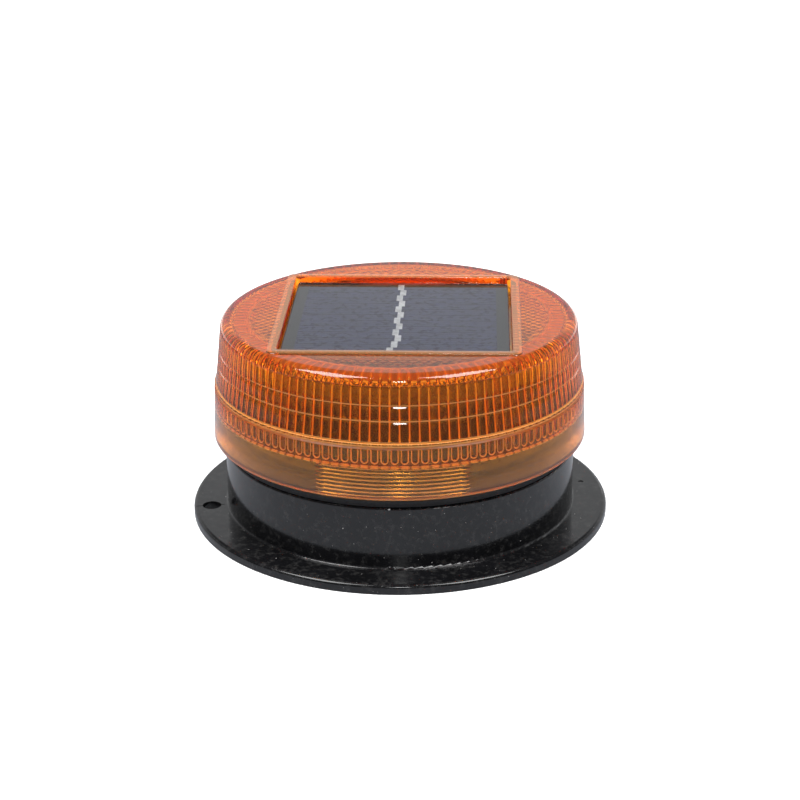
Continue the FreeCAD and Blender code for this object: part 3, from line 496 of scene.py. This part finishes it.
def lens_shell():
    """The whole lens but its posts, as one closed skin."""
    sheet = Sheet()
    outside = [sheet.row(circle(r, z)) for r, z in outer_profile()[1:]]
    skirt = skirt_rows(sheet)
    fluted = fluted_rows(sheet)
    sheet.bands(skirt)
    sheet.band(skirt[-1], fluted[0])
    sheet.bands(fluted)
    sheet.faces = [tuple(reversed(f)) for f in sheet.faces]
    edge_points = []
    for x, y, _ in circle(1.0, 0.0):
        r = prism_edge(math.atan2(y, x))
        edge_points.append((x * r, y * r, UNDERSIDE_Z))
    edge = sheet.row(edge_points)
    sheet.band(edge, fluted[-1])
    sheet.bands([skirt[0]] + outside)
    roof = [sheet.row(loop) for loop in roof_loops(circle(RIM_FOOT[0] - RIM_R, ROOF_Z))]
    sheet.bands([outside[-1]] + roof)
    prism_area(sheet, edge, roof[-1])
    return sheet


def add_post(sheet, cx, cy):
    """Screw post under a corner of the tray, with its pilot hole."""
    profile = [(PILOT_R, PILOT_TOP_Z), (PILOT_R, POST_FOOT_Z + 0.2), (PILOT_R + 0.15, POST_FOOT_Z)]
    profile += [(POST_R - 0.2, POST_FOOT_Z), (POST_R, POST_FOOT_Z + 0.2), (POST_R, TRAY_UNDER_Z + 0.2)]
    rows = []
    for r, z in profile:
        rows.append(sheet.row([(cx + x, cy + y, h) for x, y, h in circle(r, z, POST_COLUMNS, 0.0)]))
    sheet.tube(rows)


def build_lens():
    sheet = lens_shell()
    for sx, sy in ((1, 1), (-1, 1), (-1, -1), (1, -1)):
        add_post(sheet, POST_PLACE * sx, POST_PLACE * sy)
    return make_piece(sheet, "amber_lens", 34)


# ---- node helpers ----
class Nodes:
    """Short calls that add nodes to one tree; a value is a number, a colour or another node's output."""

    def __init__(self, tree):
        self.tree = tree

    def add(self, kind, **props):
        node = self.tree.nodes.new(kind)
        for key, value in props.items():
            setattr(node, key, value)
        return node

    def link(self, a, b):
        self.tree.links.new(a, b)

    def feed(self, node, index, value):
        if hasattr(value, "links"):
            self.link(value, node.inputs[index])
        elif value is not None:
            target = node.inputs[index]
            if hasattr(value, "__len__") and len(value) == 3 and len(target.default_value) == 4:
                value = (*value, 1.0)
            target.default_value = value

    def math(self, kind, a, b=None):
        node = self.add("ShaderNodeMath", operation=kind)
        self.feed(node, 0, a)
        self.feed(node, 1, b)
        return node.outputs[0]

    def times(self, first, *others):
        """All the values multiplied together."""
        for other in others:
            first = self.math("MULTIPLY", first, other)
        return first

    def plus(self, first, *others):
        """All the values added together."""
        for other in others:
            first = self.math("ADD", first, other)
        return first

    def most(self, first, *others):
        """The largest of the values."""
        for other in others:
            first = self.math("MAXIMUM", first, other)
        return first

    def gap(self, a, b):
        """How far two values are apart."""
        return self.math("ABSOLUTE", self.math("SUBTRACT", a, b))

    def length(self, a, b):
        """Length of the long side over two short sides."""
        return self.math("SQRT", self.plus(self.times(a, a), self.times(b, b)))

    def span(self, value, low, high, to_low=0.0, to_high=1.0, curve="LINEAR"):
        """The value mapped from one range to another, and held at its ends."""
        node = self.add("ShaderNodeMapRange", interpolation_type=curve)
        for index, part in enumerate((value, low, high, to_low, to_high)):
            self.feed(node, index, part)
        return node.outputs[0]

    def mix(self, share, a, b):
        """A number between two others."""
        node = self.add("ShaderNodeMix")
        self.feed(node, 0, share)
        self.feed(node, 2, a)
        self.feed(node, 3, b)
        return node.outputs[0]

    def blend(self, share, a, b):
        """A colour between two others."""
        node = self.add("ShaderNodeMix", data_type="RGBA")
        self.feed(node, 0, share)
        self.feed(node, 6, a)
        self.feed(node, 7, b)
        return node.outputs[2]


class Graph(Nodes):
    """One node material, with coordinates in millimetres."""

    def __init__(self, name, **values):
        self.mat = bpy.data.materials.new(name)
        self.mat.use_nodes = True
        super().__init__(self.mat.node_tree)
        self.bsdf = self.tree.nodes["Principled BSDF"]
        self.out = self.tree.nodes["Material Output"]
        place = self.add("ShaderNodeTexCoord")
        grow = self.add("ShaderNodeVectorMath", operation="SCALE")
        grow.inputs["Scale"].default_value = 1 / MM
        self.link(place.outputs["Object"], grow.inputs[0])
        self.mm = grow.outputs[0]
        for key, value in values.items():
            self.put(key.replace("_", " "), value)

    def put(self, name, value):
        socket = self.bsdf.inputs[name]
        if hasattr(value, "links"):
            self.link(value, socket)
        elif hasattr(value, "__len__") and len(value) == 3:
            socket.default_value = (*value, 1.0)
        else:
            socket.default_value = value

    def stretched(self, sx, sy, sz):
        node = self.add("ShaderNodeVectorMath", operation="MULTIPLY")
        self.link(self.mm, node.inputs[0])
        node.inputs[1].default_value = (sx, sy, sz)
        return node.outputs[0]

    def axis(self, name):
        node = self.add("ShaderNodeSeparateXYZ")
        self.link(self.mm, node.inputs[0])
        return node.outputs[name]

    def noise(self, scale, detail=2.0, rough=0.5, at=None):
        node = self.add("ShaderNodeTexNoise")
        self.link(at or self.mm, node.inputs["Vector"])
        node.inputs["Scale"].default_value = scale
        node.inputs["Detail"].default_value = detail
        node.inputs["Roughness"].default_value = rough
        return node.outputs["Fac"]

    def cells(self, size):
        """Scattered cells of about the given size in millimetres."""
        node = self.add("ShaderNodeTexVoronoi")
        self.link(self.mm, node.inputs["Vector"])
        node.inputs["Scale"].default_value = 1 / size
        return node

    def specks(self, cell, size):
        """1 inside small scattered dots, of random size up to the given one in millimetres."""
        node = self.cells(cell)
        pick = self.add("ShaderNodeSeparateColor")
        self.link(node.outputs["Color"], pick.inputs[0])
        limit = self.times(self.math("POWER", pick.outputs[0], 3.0), size / cell)
        return self.math("LESS_THAN", node.outputs["Distance"], limit)

    def bump(self, height, strength, distance_mm):
        node = self.add("ShaderNodeBump")
        node.inputs["Strength"].default_value = strength
        node.inputs["Distance"].default_value = distance_mm * MM
        self.link(height, node.inputs["Height"])
        self.put("Normal", node.outputs[0])


def plastic(name, colour, other, rough, grain=4.0, bump=0.15, dust=0.0):
    """Moulded plastic: slight mottling, uneven gloss, fine surface grain and a little dust."""
    g = Graph(name)
    mottle = g.noise(0.12, 4.0, 0.6)
    fine = g.noise(grain, 3.0, 0.6)
    base = g.blend(g.span(mottle, 0.35, 0.65), colour, other)
    rough_map = g.span(g.noise(0.35, 5.0, 0.65), 0.3, 0.7, rough * 0.8, rough * 1.25)
    if dust:
        dots = g.most(g.specks(1.3, 0.13), g.specks(3.0, 0.22))
        film = g.span(g.noise(0.5, 6.0, 0.7), 0.5, 0.8, 0.0, dust * 0.12)
        base = g.blend(g.most(g.times(dots, dust), film), base, (0.42, 0.41, 0.39))
        rough_map = g.most(rough_map, g.times(dots, 0.8))
    g.put("Base Color", base)
    g.put("Roughness", rough_map)
    g.bump(fine, bump, 0.02)
    return g.mat


def metal(name, colour, other, rough, brushed=None):
    """Plated or bare metal with uneven gloss and faint drawing lines."""
    g = Graph(name, Metallic=1.0)
    at = g.stretched(*brushed) if brushed else None
    lines = g.noise(3.0, 4.0, 0.6, at)
    tarnish = g.noise(0.4, 5.0, 0.6)
    g.put("Base Color", g.blend(g.span(tarnish, 0.4, 0.75), colour, other))
    g.put("Roughness", g.span(lines, 0.3, 0.7, rough * 0.7, rough * 1.5))
    g.bump(lines, 0.12, 0.02)
    return g.mat


def ring_mask(g, z, height, half, weight):
    """The weight within a height band on the lens, fading at its edges."""
    return g.span(g.gap(z, height), half, half * 0.6, 0.0, weight)


def lens_places(g):
    """Height, distance from the axis, distance across from a flute's middle, and from its foot's centre."""
    x, y, z = g.axis("X"), g.axis("Y"), g.axis("Z")
    turn = g.math("SUBTRACT", g.math("ARCTAN2", y, x), FLUTE_TURN)
    phase = g.math("FRACT", g.times(turn, FLUTES / (2 * math.pi)))
    across = g.times(g.gap(phase, 0.5), FLUTE_PITCH)
    below = g.most(g.math("SUBTRACT", BAR_LOW_Z + FOOT_ROUND, z), 0.0)
    return z, g.length(x, y), across, g.length(across, below)


def inner_painted_light(g, z, out, across, reach, rim):
    """Painted light on the inside: where the lens is made cloudy to stand in for refracted light, in lines
    between the flutes, round their feet and along the ledge, in the top band and in the band under the rim.
    """
    inside = g.span(out, *INSIDE_FADE)
    wall = g.times(g.span(z, *WALL_FOOT_FADE), g.span(z, *WALL_TOP_FADE))
    gaps = g.times(g.span(across, *GAP_LINE), wall)
    under_step = g.times(g.span(z, *reversed(WALL_FOOT_FADE)), g.span(z, BAR_LOW_Z - 0.5, BAR_LOW_Z - 0.3))
    feet = g.times(g.span(g.gap(reach, FOOT_ROUND), *FOOT_LINE), under_step)
    lines = g.times(g.most(gaps, feet), inside)
    ledge = g.times(g.span(z, LEDGE_Z - 0.4, LEDGE_Z - 0.2), g.span(z, LEDGE_Z + 0.8, LEDGE_Z + 0.5),
                    g.span(out, 58.2, 58.0), g.span(across, *LEDGE_LINE, 0.35, 1.0))
    top_band = g.times(g.span(z, *TOP_BAND_FADE, 0.1, 0.3), inside, wall)
    return g.most(lines, g.times(rim, 0.75), ledge, top_band)


def outer_painted_light(g, z, out):
    """Painted light on the outside: where the lens is made cloudy to stand in for light caught by the bead,
    the grooves, the lip and the frame's top.
    """
    rings = g.most(*(ring_mask(g, z, *ring) for ring in GROOVE_RINGS + SKIRT_RINGS))
    return g.most(g.times(rings, g.span(out, *OUTSIDE_FADE)), g.times(g.span(z, *FRAME_TOP_FADE), 0.25))


def lens_colour_and_painted_light(g, z, out, reach, rim, inner, outer):
    """Surface colour of the lens: its amber, deeper with painted light where it is cloudy, in the band under
    the rim and on the frame's top, and darkest, as painted shade, between the flutes' feet.
    """
    # painted light: glow colours of the cloudy lines, orange on the wall, khaki in the top band and pale
    # round the feet and ledge
    wall_glow_colour = g.blend(g.span(z, *TOP_BAND_FADE), (1.0, 0.52, 0.16), (0.9, 0.85, 0.4))
    glow_line_colour = g.blend(g.span(z, *WALL_FOOT_FADE), (1.0, 0.9, 0.75), wall_glow_colour)
    # painted shade: the lens coloured dark between the flutes' feet
    between = g.times(g.math("GREATER_THAN", reach, FOOT_ROUND + 0.2),
                      g.math("GREATER_THAN", z, LEDGE_Z + 0.4), g.math("LESS_THAN", z, BAR_LOW_Z + 1.6),
                      g.span(out, *INSIDE_FADE))
    tint = g.blend(g.noise(0.05, 2.0), (1.0, 0.73, 0.27), (1.0, 0.77, 0.31))
    tint = g.blend(g.math("MINIMUM", g.times(inner, 3.0), 1.0), tint, glow_line_colour)
    # painted light: a deep-orange glow in the band under the rim
    tint = g.blend(rim, tint, (1.0, 0.52, 0.06))
    tint = g.blend(between, tint, (0.3, 0.07, 0.03))
    # painted light: an orange glow on the frame's top
    tint = g.blend(g.span(z, *FRAME_TOP_FADE, 0.0, 0.8), tint, (0.92, 0.42, 0.15))
    # painted light: glow colours of the outer rings, orange lower down and peach on the frame's top
    ring_glow_colour = g.blend(g.span(z, ROOF_Z - 0.8, ROOF_Z - 0.3), (0.92, 0.36, 0.07), (0.7, 0.3, 0.16))
    return g.blend(outer, tint, ring_glow_colour)


def amber_glass():
    """Amber polycarbonate: tinted at its surfaces and coloured by the depth the light passes through, with
    painted light on it (cloudy lines, rings and bands that stand in for refracted and reflected light) and
    painted shade between the flutes' feet and on the posts.
    """
    g = Graph("amber_lens", IOR=1.585)
    z, out, across, reach = lens_places(g)
    # band under the rim, painted with a deep-orange glow in place of light reflected inside the rim
    rim = g.times(g.span(out, 46.8, 47.8), g.span(out, 52.7, 52.2),
                  g.span(z, 62.2, 62.6), g.span(z, 63.4, 63.2))
    inner = inner_painted_light(g, z, out, across, reach, rim)
    outer = outer_painted_light(g, z, out)
    # painted light: all the cloudy lines, rings and bands; where it is painted the lens is less clear and
    # rougher
    painted_light = g.most(inner, outer)
    # painted shade: the screw posts coloured dark so that they stay dim
    posts = g.times(g.math("LESS_THAN", z, TRAY_UNDER_Z - 0.1), g.math("LESS_THAN", out, 50.5))
    g.put("Base Color", g.blend(posts, lens_colour_and_painted_light(g, z, out, reach, rim, inner, outer), (0.35, 0.12, 0.04)))
    g.put("Transmission Weight", g.span(painted_light, 0.0, 1.0, 0.985, 0.1))
    prisms = g.times(g.math("LESS_THAN", z, UNDERSIDE_Z + 0.1), g.math("GREATER_THAN", z, UNDERSIDE_Z - 1.5),
                     g.math("LESS_THAN", out, BAR_TOP_R))
    skirt = g.times(g.math("LESS_THAN", z, BAR_LOW_Z - 0.1), g.math("LESS_THAN", out, 58.2))
    frosted = g.plus(g.times(prisms, 0.2), g.times(skirt, 0.12), g.times(posts, 0.2),
                     ring_mask(g, z, STEP_Z, 0.9, 0.3))
    wear = g.span(g.noise(0.6, 4.0, 0.6), 0.35, 0.7, 0.015, 0.05)
    g.put("Roughness", g.plus(wear, frosted, g.times(painted_light, 0.2)))
    g.bump(g.noise(0.45, 3.0, 0.5), 0.09, 0.05)
    deep = g.add("ShaderNodeVolumeAbsorption")
    deep.inputs["Color"].default_value = (0.97, 0.66, 0.05, 1.0)
    deep.inputs["Density"].default_value = 420.0
    g.link(deep.outputs[0], g.out.inputs["Volume"])
    return g.mat


def clear_resin():
    """Poured epoxy over the cells, faintly grey, with slow waves in its surface."""
    g = Graph("clear_resin", IOR=1.5)
    g.put("Transmission Weight", 1.0)
    g.put("Base Color", g.blend(g.noise(0.08, 2.0), (0.86, 0.87, 0.9), (0.92, 0.92, 0.94)))
    g.put("Roughness", g.span(g.noise(0.25, 5.0, 0.7), 0.35, 0.7, 0.02, 0.09))
    g.bump(g.noise(0.09, 2.0), 0.12, 0.12)
    return g.mat


def silicon():
    """Dark blue cell strips with thin collector lines along each one."""
    g = Graph("silicon")
    grains = g.noise(0.5, 2.0, 0.5, g.stretched(1.0, 1.0, 0.2))
    base = g.blend(g.span(grains, 0.35, 0.65), (0.02, 0.023, 0.06), (0.03, 0.034, 0.09))
    along = g.math("FRACT", g.times(g.axis("Y"), 1 / COLLECTOR_PITCH))
    line = g.math("LESS_THAN", along, COLLECTOR_SHARE)
    g.put("Base Color", g.blend(g.times(line, 0.5), base, (0.2, 0.21, 0.24)))
    g.put("Roughness", g.span(grains, 0.3, 0.7, 0.22, 0.4))
    g.put("Metallic", 0.25)
    return g.mat


def rubber(name, colour, other):
    """Matt rubber with a fine pebbled skin."""
    g = Graph(name)
    g.put("Base Color", g.blend(g.noise(0.3, 5.0, 0.7), colour, other))
    g.put("Roughness", g.span(g.noise(1.4, 3.0, 0.6), 0.3, 0.7, 0.5, 0.75))
    g.bump(g.noise(6.0, 3.0, 0.6), 0.25, 0.03)
    return g.mat


def foam():
    """White closed-cell foam tape."""
    g = Graph("foam_tape", Roughness=0.9)
    depth = g.cells(1 / 3.0).outputs["Distance"]
    g.put("Base Color", g.blend(depth, (0.86, 0.85, 0.82), (0.7, 0.69, 0.66)))
    g.put("Subsurface Weight", 0.1)
    g.bump(depth, 0.5, 0.08)
    return g.mat


def laminate(name, mask_a, mask_b, edge):
    """Circuit board: solder mask with a faint glass weave, and bare laminate where it is cut."""
    g = Graph(name)
    weave = g.times(g.math("SINE", g.times(g.axis("X"), WEAVE_TURNS)),
                    g.math("SINE", g.times(g.axis("Y"), WEAVE_TURNS)))
    face = g.blend(g.noise(0.3, 4.0, 0.6), mask_a, mask_b)
    way = g.add("ShaderNodeNewGeometry")
    flat = g.add("ShaderNodeSeparateXYZ")
    g.link(way.outputs["Normal"], flat.inputs[0])
    side = g.math("LESS_THAN", g.math("ABSOLUTE", flat.outputs["Z"]), 0.5)
    g.put("Base Color", g.blend(side, face, edge))
    g.put("Roughness", g.span(g.noise(1.0, 3.0), 0.3, 0.7, 0.28, 0.42))
    g.bump(weave, 0.08, 0.02)
    return g.mat


def winding():
    """Enamelled copper, wound in close turns."""
    g = Graph("copper", Metallic=0.9)
    turns = g.math("SINE", g.times(g.axis("Z"), 2 * math.pi / WINDING_PITCH))
    g.put("Base Color", g.blend(g.noise(0.9, 4.0, 0.6), (0.62, 0.2, 0.07), (0.78, 0.33, 0.13)))
    g.put("Roughness", g.span(turns, -1.0, 1.0, 0.42, 0.22))
    g.bump(turns, 0.6, 0.12)
    return g.mat


def cell_sleeve():
    """Battery sleeve in two plain generic colours."""
    g = Graph("battery_sleeve")
    ring = g.math("GREATER_THAN", g.axis("X"), SLEEVE_RING_X)
    body = g.blend(g.noise(0.2, 3.0), (0.05, 0.23, 0.16), (0.065, 0.28, 0.19))
    g.put("Base Color", g.blend(ring, body, (0.62, 0.6, 0.55)))
    g.put("Roughness", g.span(g.noise(0.8, 4.0), 0.3, 0.7, 0.2, 0.34))
    g.put("Coat Weight", 0.3)
    g.bump(g.noise(0.5, 2.0), 0.08, 0.05)
    return g.mat


def can():
    """Dark capacitor sleeve."""
    g = Graph("capacitor_can")
    g.put("Base Color", g.blend(g.noise(0.6, 3.0), (0.03, 0.035, 0.05), (0.045, 0.05, 0.075)))
    g.put("Roughness", g.span(g.noise(1.5, 3.0), 0.3, 0.7, 0.25, 0.42))
    g.bump(g.noise(2.0, 3.0), 0.1, 0.03)
    return g.mat


def lamp():
    """Water-clear lamp epoxy, faintly yellow."""
    g = Graph("lamp_epoxy", IOR=1.53)
    g.put("Transmission Weight", 0.85)
    g.put("Base Color", g.blend(g.noise(0.9, 2.0), (0.95, 0.86, 0.6), (0.98, 0.9, 0.7)))
    g.put("Roughness", g.span(g.noise(2.0, 3.0), 0.3, 0.7, 0.03, 0.1))
    return g.mat


materials = {
    "base_plastic": plastic("base_plastic", (0.0035, 0.0035, 0.004), (0.006, 0.006, 0.007), 0.13, 2.2, 0.015,
                            dust=0.75),
    "amber_lens": amber_glass(),
    "seal_rubber": rubber("seal_rubber", (0.008, 0.008, 0.008), (0.02, 0.02, 0.021)),
    "steel_screw": metal("steel_screw", (0.55, 0.55, 0.54), (0.4, 0.38, 0.35), 0.3),
    "foam_tape": foam(),
    "board_black": laminate("board_black", (0.018, 0.02, 0.022), (0.028, 0.03, 0.032), (0.1, 0.09, 0.05)),
    "silicon": silicon(),
    "tinned_metal": metal("tinned_metal", (0.92, 0.92, 0.91), (0.5, 0.5, 0.49), 0.34),
    "clear_resin": clear_resin(),
    "wire_red": plastic("wire_red", (0.42, 0.02, 0.015), (0.5, 0.035, 0.02), 0.38),
    "wire_black": plastic("wire_black", (0.01, 0.01, 0.01), (0.02, 0.02, 0.02), 0.4),
    "connector_white": plastic("connector_white", (0.72, 0.7, 0.62), (0.8, 0.78, 0.7), 0.42),
    "board_green": laminate("board_green", (0.008, 0.075, 0.03), (0.012, 0.1, 0.042), (0.42, 0.36, 0.16)),
    "holder_plastic": plastic("holder_plastic", (0.012, 0.012, 0.013), (0.02, 0.02, 0.021), 0.42),
    "lamp_epoxy": lamp(),
    "chip_epoxy": plastic("chip_epoxy", (0.015, 0.015, 0.016), (0.025, 0.025, 0.026), 0.5, 7.0, 0.3),
    "ferrite": plastic("ferrite", (0.03, 0.03, 0.03), (0.05, 0.048, 0.045), 0.6, 5.0, 0.4),
    "copper": winding(),
    "capacitor_can": can(),
    "chip_ceramic": plastic("chip_ceramic", (0.02, 0.02, 0.022), (0.6, 0.58, 0.5), 0.4, 5.0, 0.2),
    "battery_sleeve": cell_sleeve(),
    "nickel_plate": metal("nickel_plate", (0.66, 0.64, 0.58), (0.52, 0.5, 0.44), 0.28, (0.3, 3.0, 3.0)),
    "door_plastic": plastic("door_plastic", (0.006, 0.006, 0.007), (0.01, 0.01, 0.011), 0.3, 3.0, 0.2,
                            dust=0.4),
    "button_plastic": plastic("button_plastic", (0.45, 0.018, 0.012), (0.52, 0.03, 0.02), 0.32),
    "plunger_plastic": plastic("plunger_plastic", (0.7, 0.69, 0.65), (0.76, 0.75, 0.7), 0.4),
    "switch_plastic": plastic("switch_plastic", (0.02, 0.022, 0.03), (0.03, 0.033, 0.042), 0.4),
}

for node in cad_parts.values():
    for holder in node.material_slots:
        holder.material = materials[holder.material.name]


# ---- rebuilt pieces ----
def build_resin():
    """Poured face of the panel: a slab with a rounded, slightly sunken edge, set a hair into the board."""
    (_, _, low), (half, _, top) = box_mm("panel_resin")
    bottom = low - RESIN_SUNK
    sheet = Sheet()
    sides = [(half - 0.02, bottom), (half, bottom + 0.1), (half, top - 0.35), (half - 0.1, top - 0.12)]
    sides += [(half - 0.35, top - 0.02), (half - 1.0, top)]
    sheet.tube([sheet.row(square_loop(reach, RESIN_CORNER_R, z)) for reach, z in sides])
    return make_piece(sheet, "resin_face", 40)


def build_spring():
    """Coil spring under the button, as one closed tube with flat ends."""
    (low_x, low_y, low_z), (high_x, high_y, high_z) = box_mm("button_spring")
    foot = Vector(((low_x + high_x) / 2, (low_y + high_y) / 2, low_z + SPRING_WIRE_R))
    radius = (high_x - low_x) / 2 - SPRING_WIRE_R
    rise = high_z - low_z - 2 * SPRING_WIRE_R
    slope = rise / (2 * math.pi * SPRING_TURNS * radius)
    section = circle(SPRING_WIRE_R, 0.0, SPRING_COLUMNS)
    steps = SPRING_TURNS * SPRING_STEPS
    sheet = Sheet()
    rows = []
    for i in range(steps + 1):
        angle = 2 * math.pi * i / SPRING_STEPS
        outward = Vector(place_at(1.0, angle, 0.0))
        across = outward.cross(Vector(place_at(1.0, angle + math.pi / 2, slope)).normalized())
        centre = foot + radius * outward + Vector((0.0, 0.0, rise * i / steps))
        rows.append(sheet.row([tuple(centre + x * outward + y * across) for x, y, _ in reversed(section)]))
    sheet.tube(rows)
    return make_piece(sheet, "press_spring", 40)


def stand_for(piece, node, slot):
    """Puts a rebuilt piece in the place of a housing node, with its finish."""
    piece.data.materials.append(materials[slot])
    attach(piece, "housing")
    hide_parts(node)


stand_for(build_resin(), "panel_resin", "clear_resin")
stand_for(build_lens(), "lens_dome", "amber_lens")
spring = build_spring()
stand_for(spring, "button_spring", "tinned_metal")
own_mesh(spring)


# ---- stage ----
# Brightness of the surroundings, 1 being white; the "through" values are for light seen through the lens.
FRONT_LIGHT = 0.1
HORIZON_LIGHT = 0.66
OVERHEAD_LIGHT = 1.22
THROUGH_FRONT = 0.25
THROUGH_LIGHT = 1.05
FLOOR_LIFT = 0.45

# Floor, in metres, and where its brightness changes, in millimetres from the object.
FLOOR_HALF = 6.0
FRONT_FADE = (-420.0, -260.0)
BEHIND_FADE = (220.0, 420.0)
TABLE_FADE = (330.0, 270.0)
CLOSE_FADE = (165.0, 115.0)

# Each light's name, place, height aimed at, width and height in metres, and power in watts.
LIGHTS = (
    ("front_lamp", (0.06, -1.4, 0.86), 0.04, 0.2, 0.24, 3.0),
    ("softbox_left", (-0.69, -0.4, 1.27), 0.05, 0.75, 0.7, 15.5),
    ("softbox_right", (0.678, -0.424, 1.27), 0.05, 0.75, 0.7, 15.5),
)

# Camera: its direction from the object, its distance, and the point it aims at, in metres.
CAMERA_TURN = math.radians(2.4)
CAMERA_RISE = math.radians(21.48)
CAMERA_ROLL = 0.00679
CAMERA_DISTANCE = 0.64125
CAMERA_AIM_SIDE = 0.00018
CAMERA_AIM_Z = 0.0361
CAMERA_LENS_MM = 89.28


def seen_directly(g):
    """1 for what the camera sees, and for what is seen through the lens away from the studio's dark front."""
    path = g.add("ShaderNodeLightPath")
    through = g.times(path.outputs["Is Transmission Ray"], g.span(g.axis("Y"), *FRONT_FADE))
    return g.most(path.outputs["Is Camera Ray"], through)


def plain_floor():
    """Pale paper, lit up for the camera as an overexposed background is, and calmer in reflections."""
    mesh = bpy.data.meshes.new("floor")
    corners = [(FLOOR_HALF * x, FLOOR_HALF * y, 0.0) for x, y in ((-1, -1), (1, -1), (1, 1), (-1, 1))]
    mesh.from_pydata(corners, [], [(0, 1, 2, 3)])
    floor = bpy.data.objects.new("floor", mesh)
    bpy.context.scene.collection.objects.link(floor)
    g = Graph("floor_paper", Roughness=0.9)
    away = g.length(g.axis("X"), g.axis("Y"))
    lit = g.most(seen_directly(g), g.span(g.axis("Y"), *BEHIND_FADE))
    paper = g.blend(g.noise(0.01, 3.0), (0.86, 0.86, 0.86), (0.89, 0.89, 0.89))
    table = g.blend(g.span(away, *CLOSE_FADE), (0.19, 0.185, 0.2), (0.36, 0.375, 0.41))
    calm = g.blend(g.span(away, *TABLE_FADE), (0.02, 0.02, 0.02), table)
    g.put("Base Color", g.blend(lit, calm, paper))
    g.put("Emission Color", (1.0, 1.0, 1.0))
    g.put("Emission Strength", g.times(lit, FLOOR_LIFT))
    mesh.materials.append(g.mat)


def area_light(name, place, aim_z, width, height, power):
    data = bpy.data.lights.new(name, "AREA")
    data.shape = "RECTANGLE"
    data.size = width
    data.size_y = height
    data.energy = power
    light = bpy.data.objects.new(name, data)
    light.location = place
    light.rotation_euler = (Vector((0.0, 0.0, aim_z)) - Vector(place)).to_track_quat("-Z", "Y").to_euler()
    bpy.context.scene.collection.objects.link(light)


def studio_world():
    """White surroundings: calmer near the horizon and brighter overhead, except where seen directly."""
    world = bpy.data.worlds.new("studio")
    world.use_nodes = True
    g = Nodes(world.node_tree)
    way = g.add("ShaderNodeSeparateXYZ")
    g.link(g.add("ShaderNodeTexCoord").outputs["Generated"], way.inputs[0])
    side = g.span(way.outputs["Y"], 0.0, 0.9, FRONT_LIGHT, HORIZON_LIGHT, "SMOOTHSTEP")
    strength = g.span(way.outputs["Z"], 0.35, 0.95, side, OVERHEAD_LIGHT)
    mirrored = g.span(way.outputs["Z"], 0.42, 0.55, side, FRONT_LIGHT)
    through = g.span(way.outputs["Y"], -0.97, -0.75, THROUGH_FRONT, THROUGH_LIGHT)
    path = g.add("ShaderNodeLightPath")
    for ray, light in (("Is Glossy Ray", mirrored), ("Is Transmission Ray", through), ("Is Camera Ray", 1.0)):
        strength = g.mix(path.outputs[ray], strength, light)
    back = world.node_tree.nodes["Background"]
    g.link(strength, back.inputs["Strength"])
    back.inputs["Color"].default_value = (0.97, 0.985, 1.0, 1.0)
    bpy.context.scene.world = world


def photo_camera():
    """Camera in front of the object and a little above it, with a very small roll."""
    away = Vector((math.sin(CAMERA_TURN) * math.cos(CAMERA_RISE),
                   -math.cos(CAMERA_TURN) * math.cos(CAMERA_RISE), math.sin(CAMERA_RISE)))
    right = Vector((math.cos(CAMERA_TURN), math.sin(CAMERA_TURN), 0.0))
    up = away.cross(right)
    eye = right * CAMERA_AIM_SIDE + Vector((0, 0, CAMERA_AIM_Z)) + away * CAMERA_DISTANCE
    side = right * math.cos(CAMERA_ROLL) - up * math.sin(CAMERA_ROLL)
    top = up * math.cos(CAMERA_ROLL) + right * math.sin(CAMERA_ROLL)
    data = bpy.data.cameras.new("camera")
    data.lens = CAMERA_LENS_MM
    data.clip_start = 0.01
    camera = bpy.data.objects.new("camera", data)
    turn = Matrix((side, top, away)).transposed().to_4x4()
    camera.matrix_world = Matrix.Translation(eye) @ turn
    bpy.context.scene.collection.objects.link(camera)
    bpy.context.scene.camera = camera


plain_floor()
studio_world()
photo_camera()
for row in LIGHTS:
    area_light(*row)
bpy.context.scene.view_settings.view_transform = "Standard"
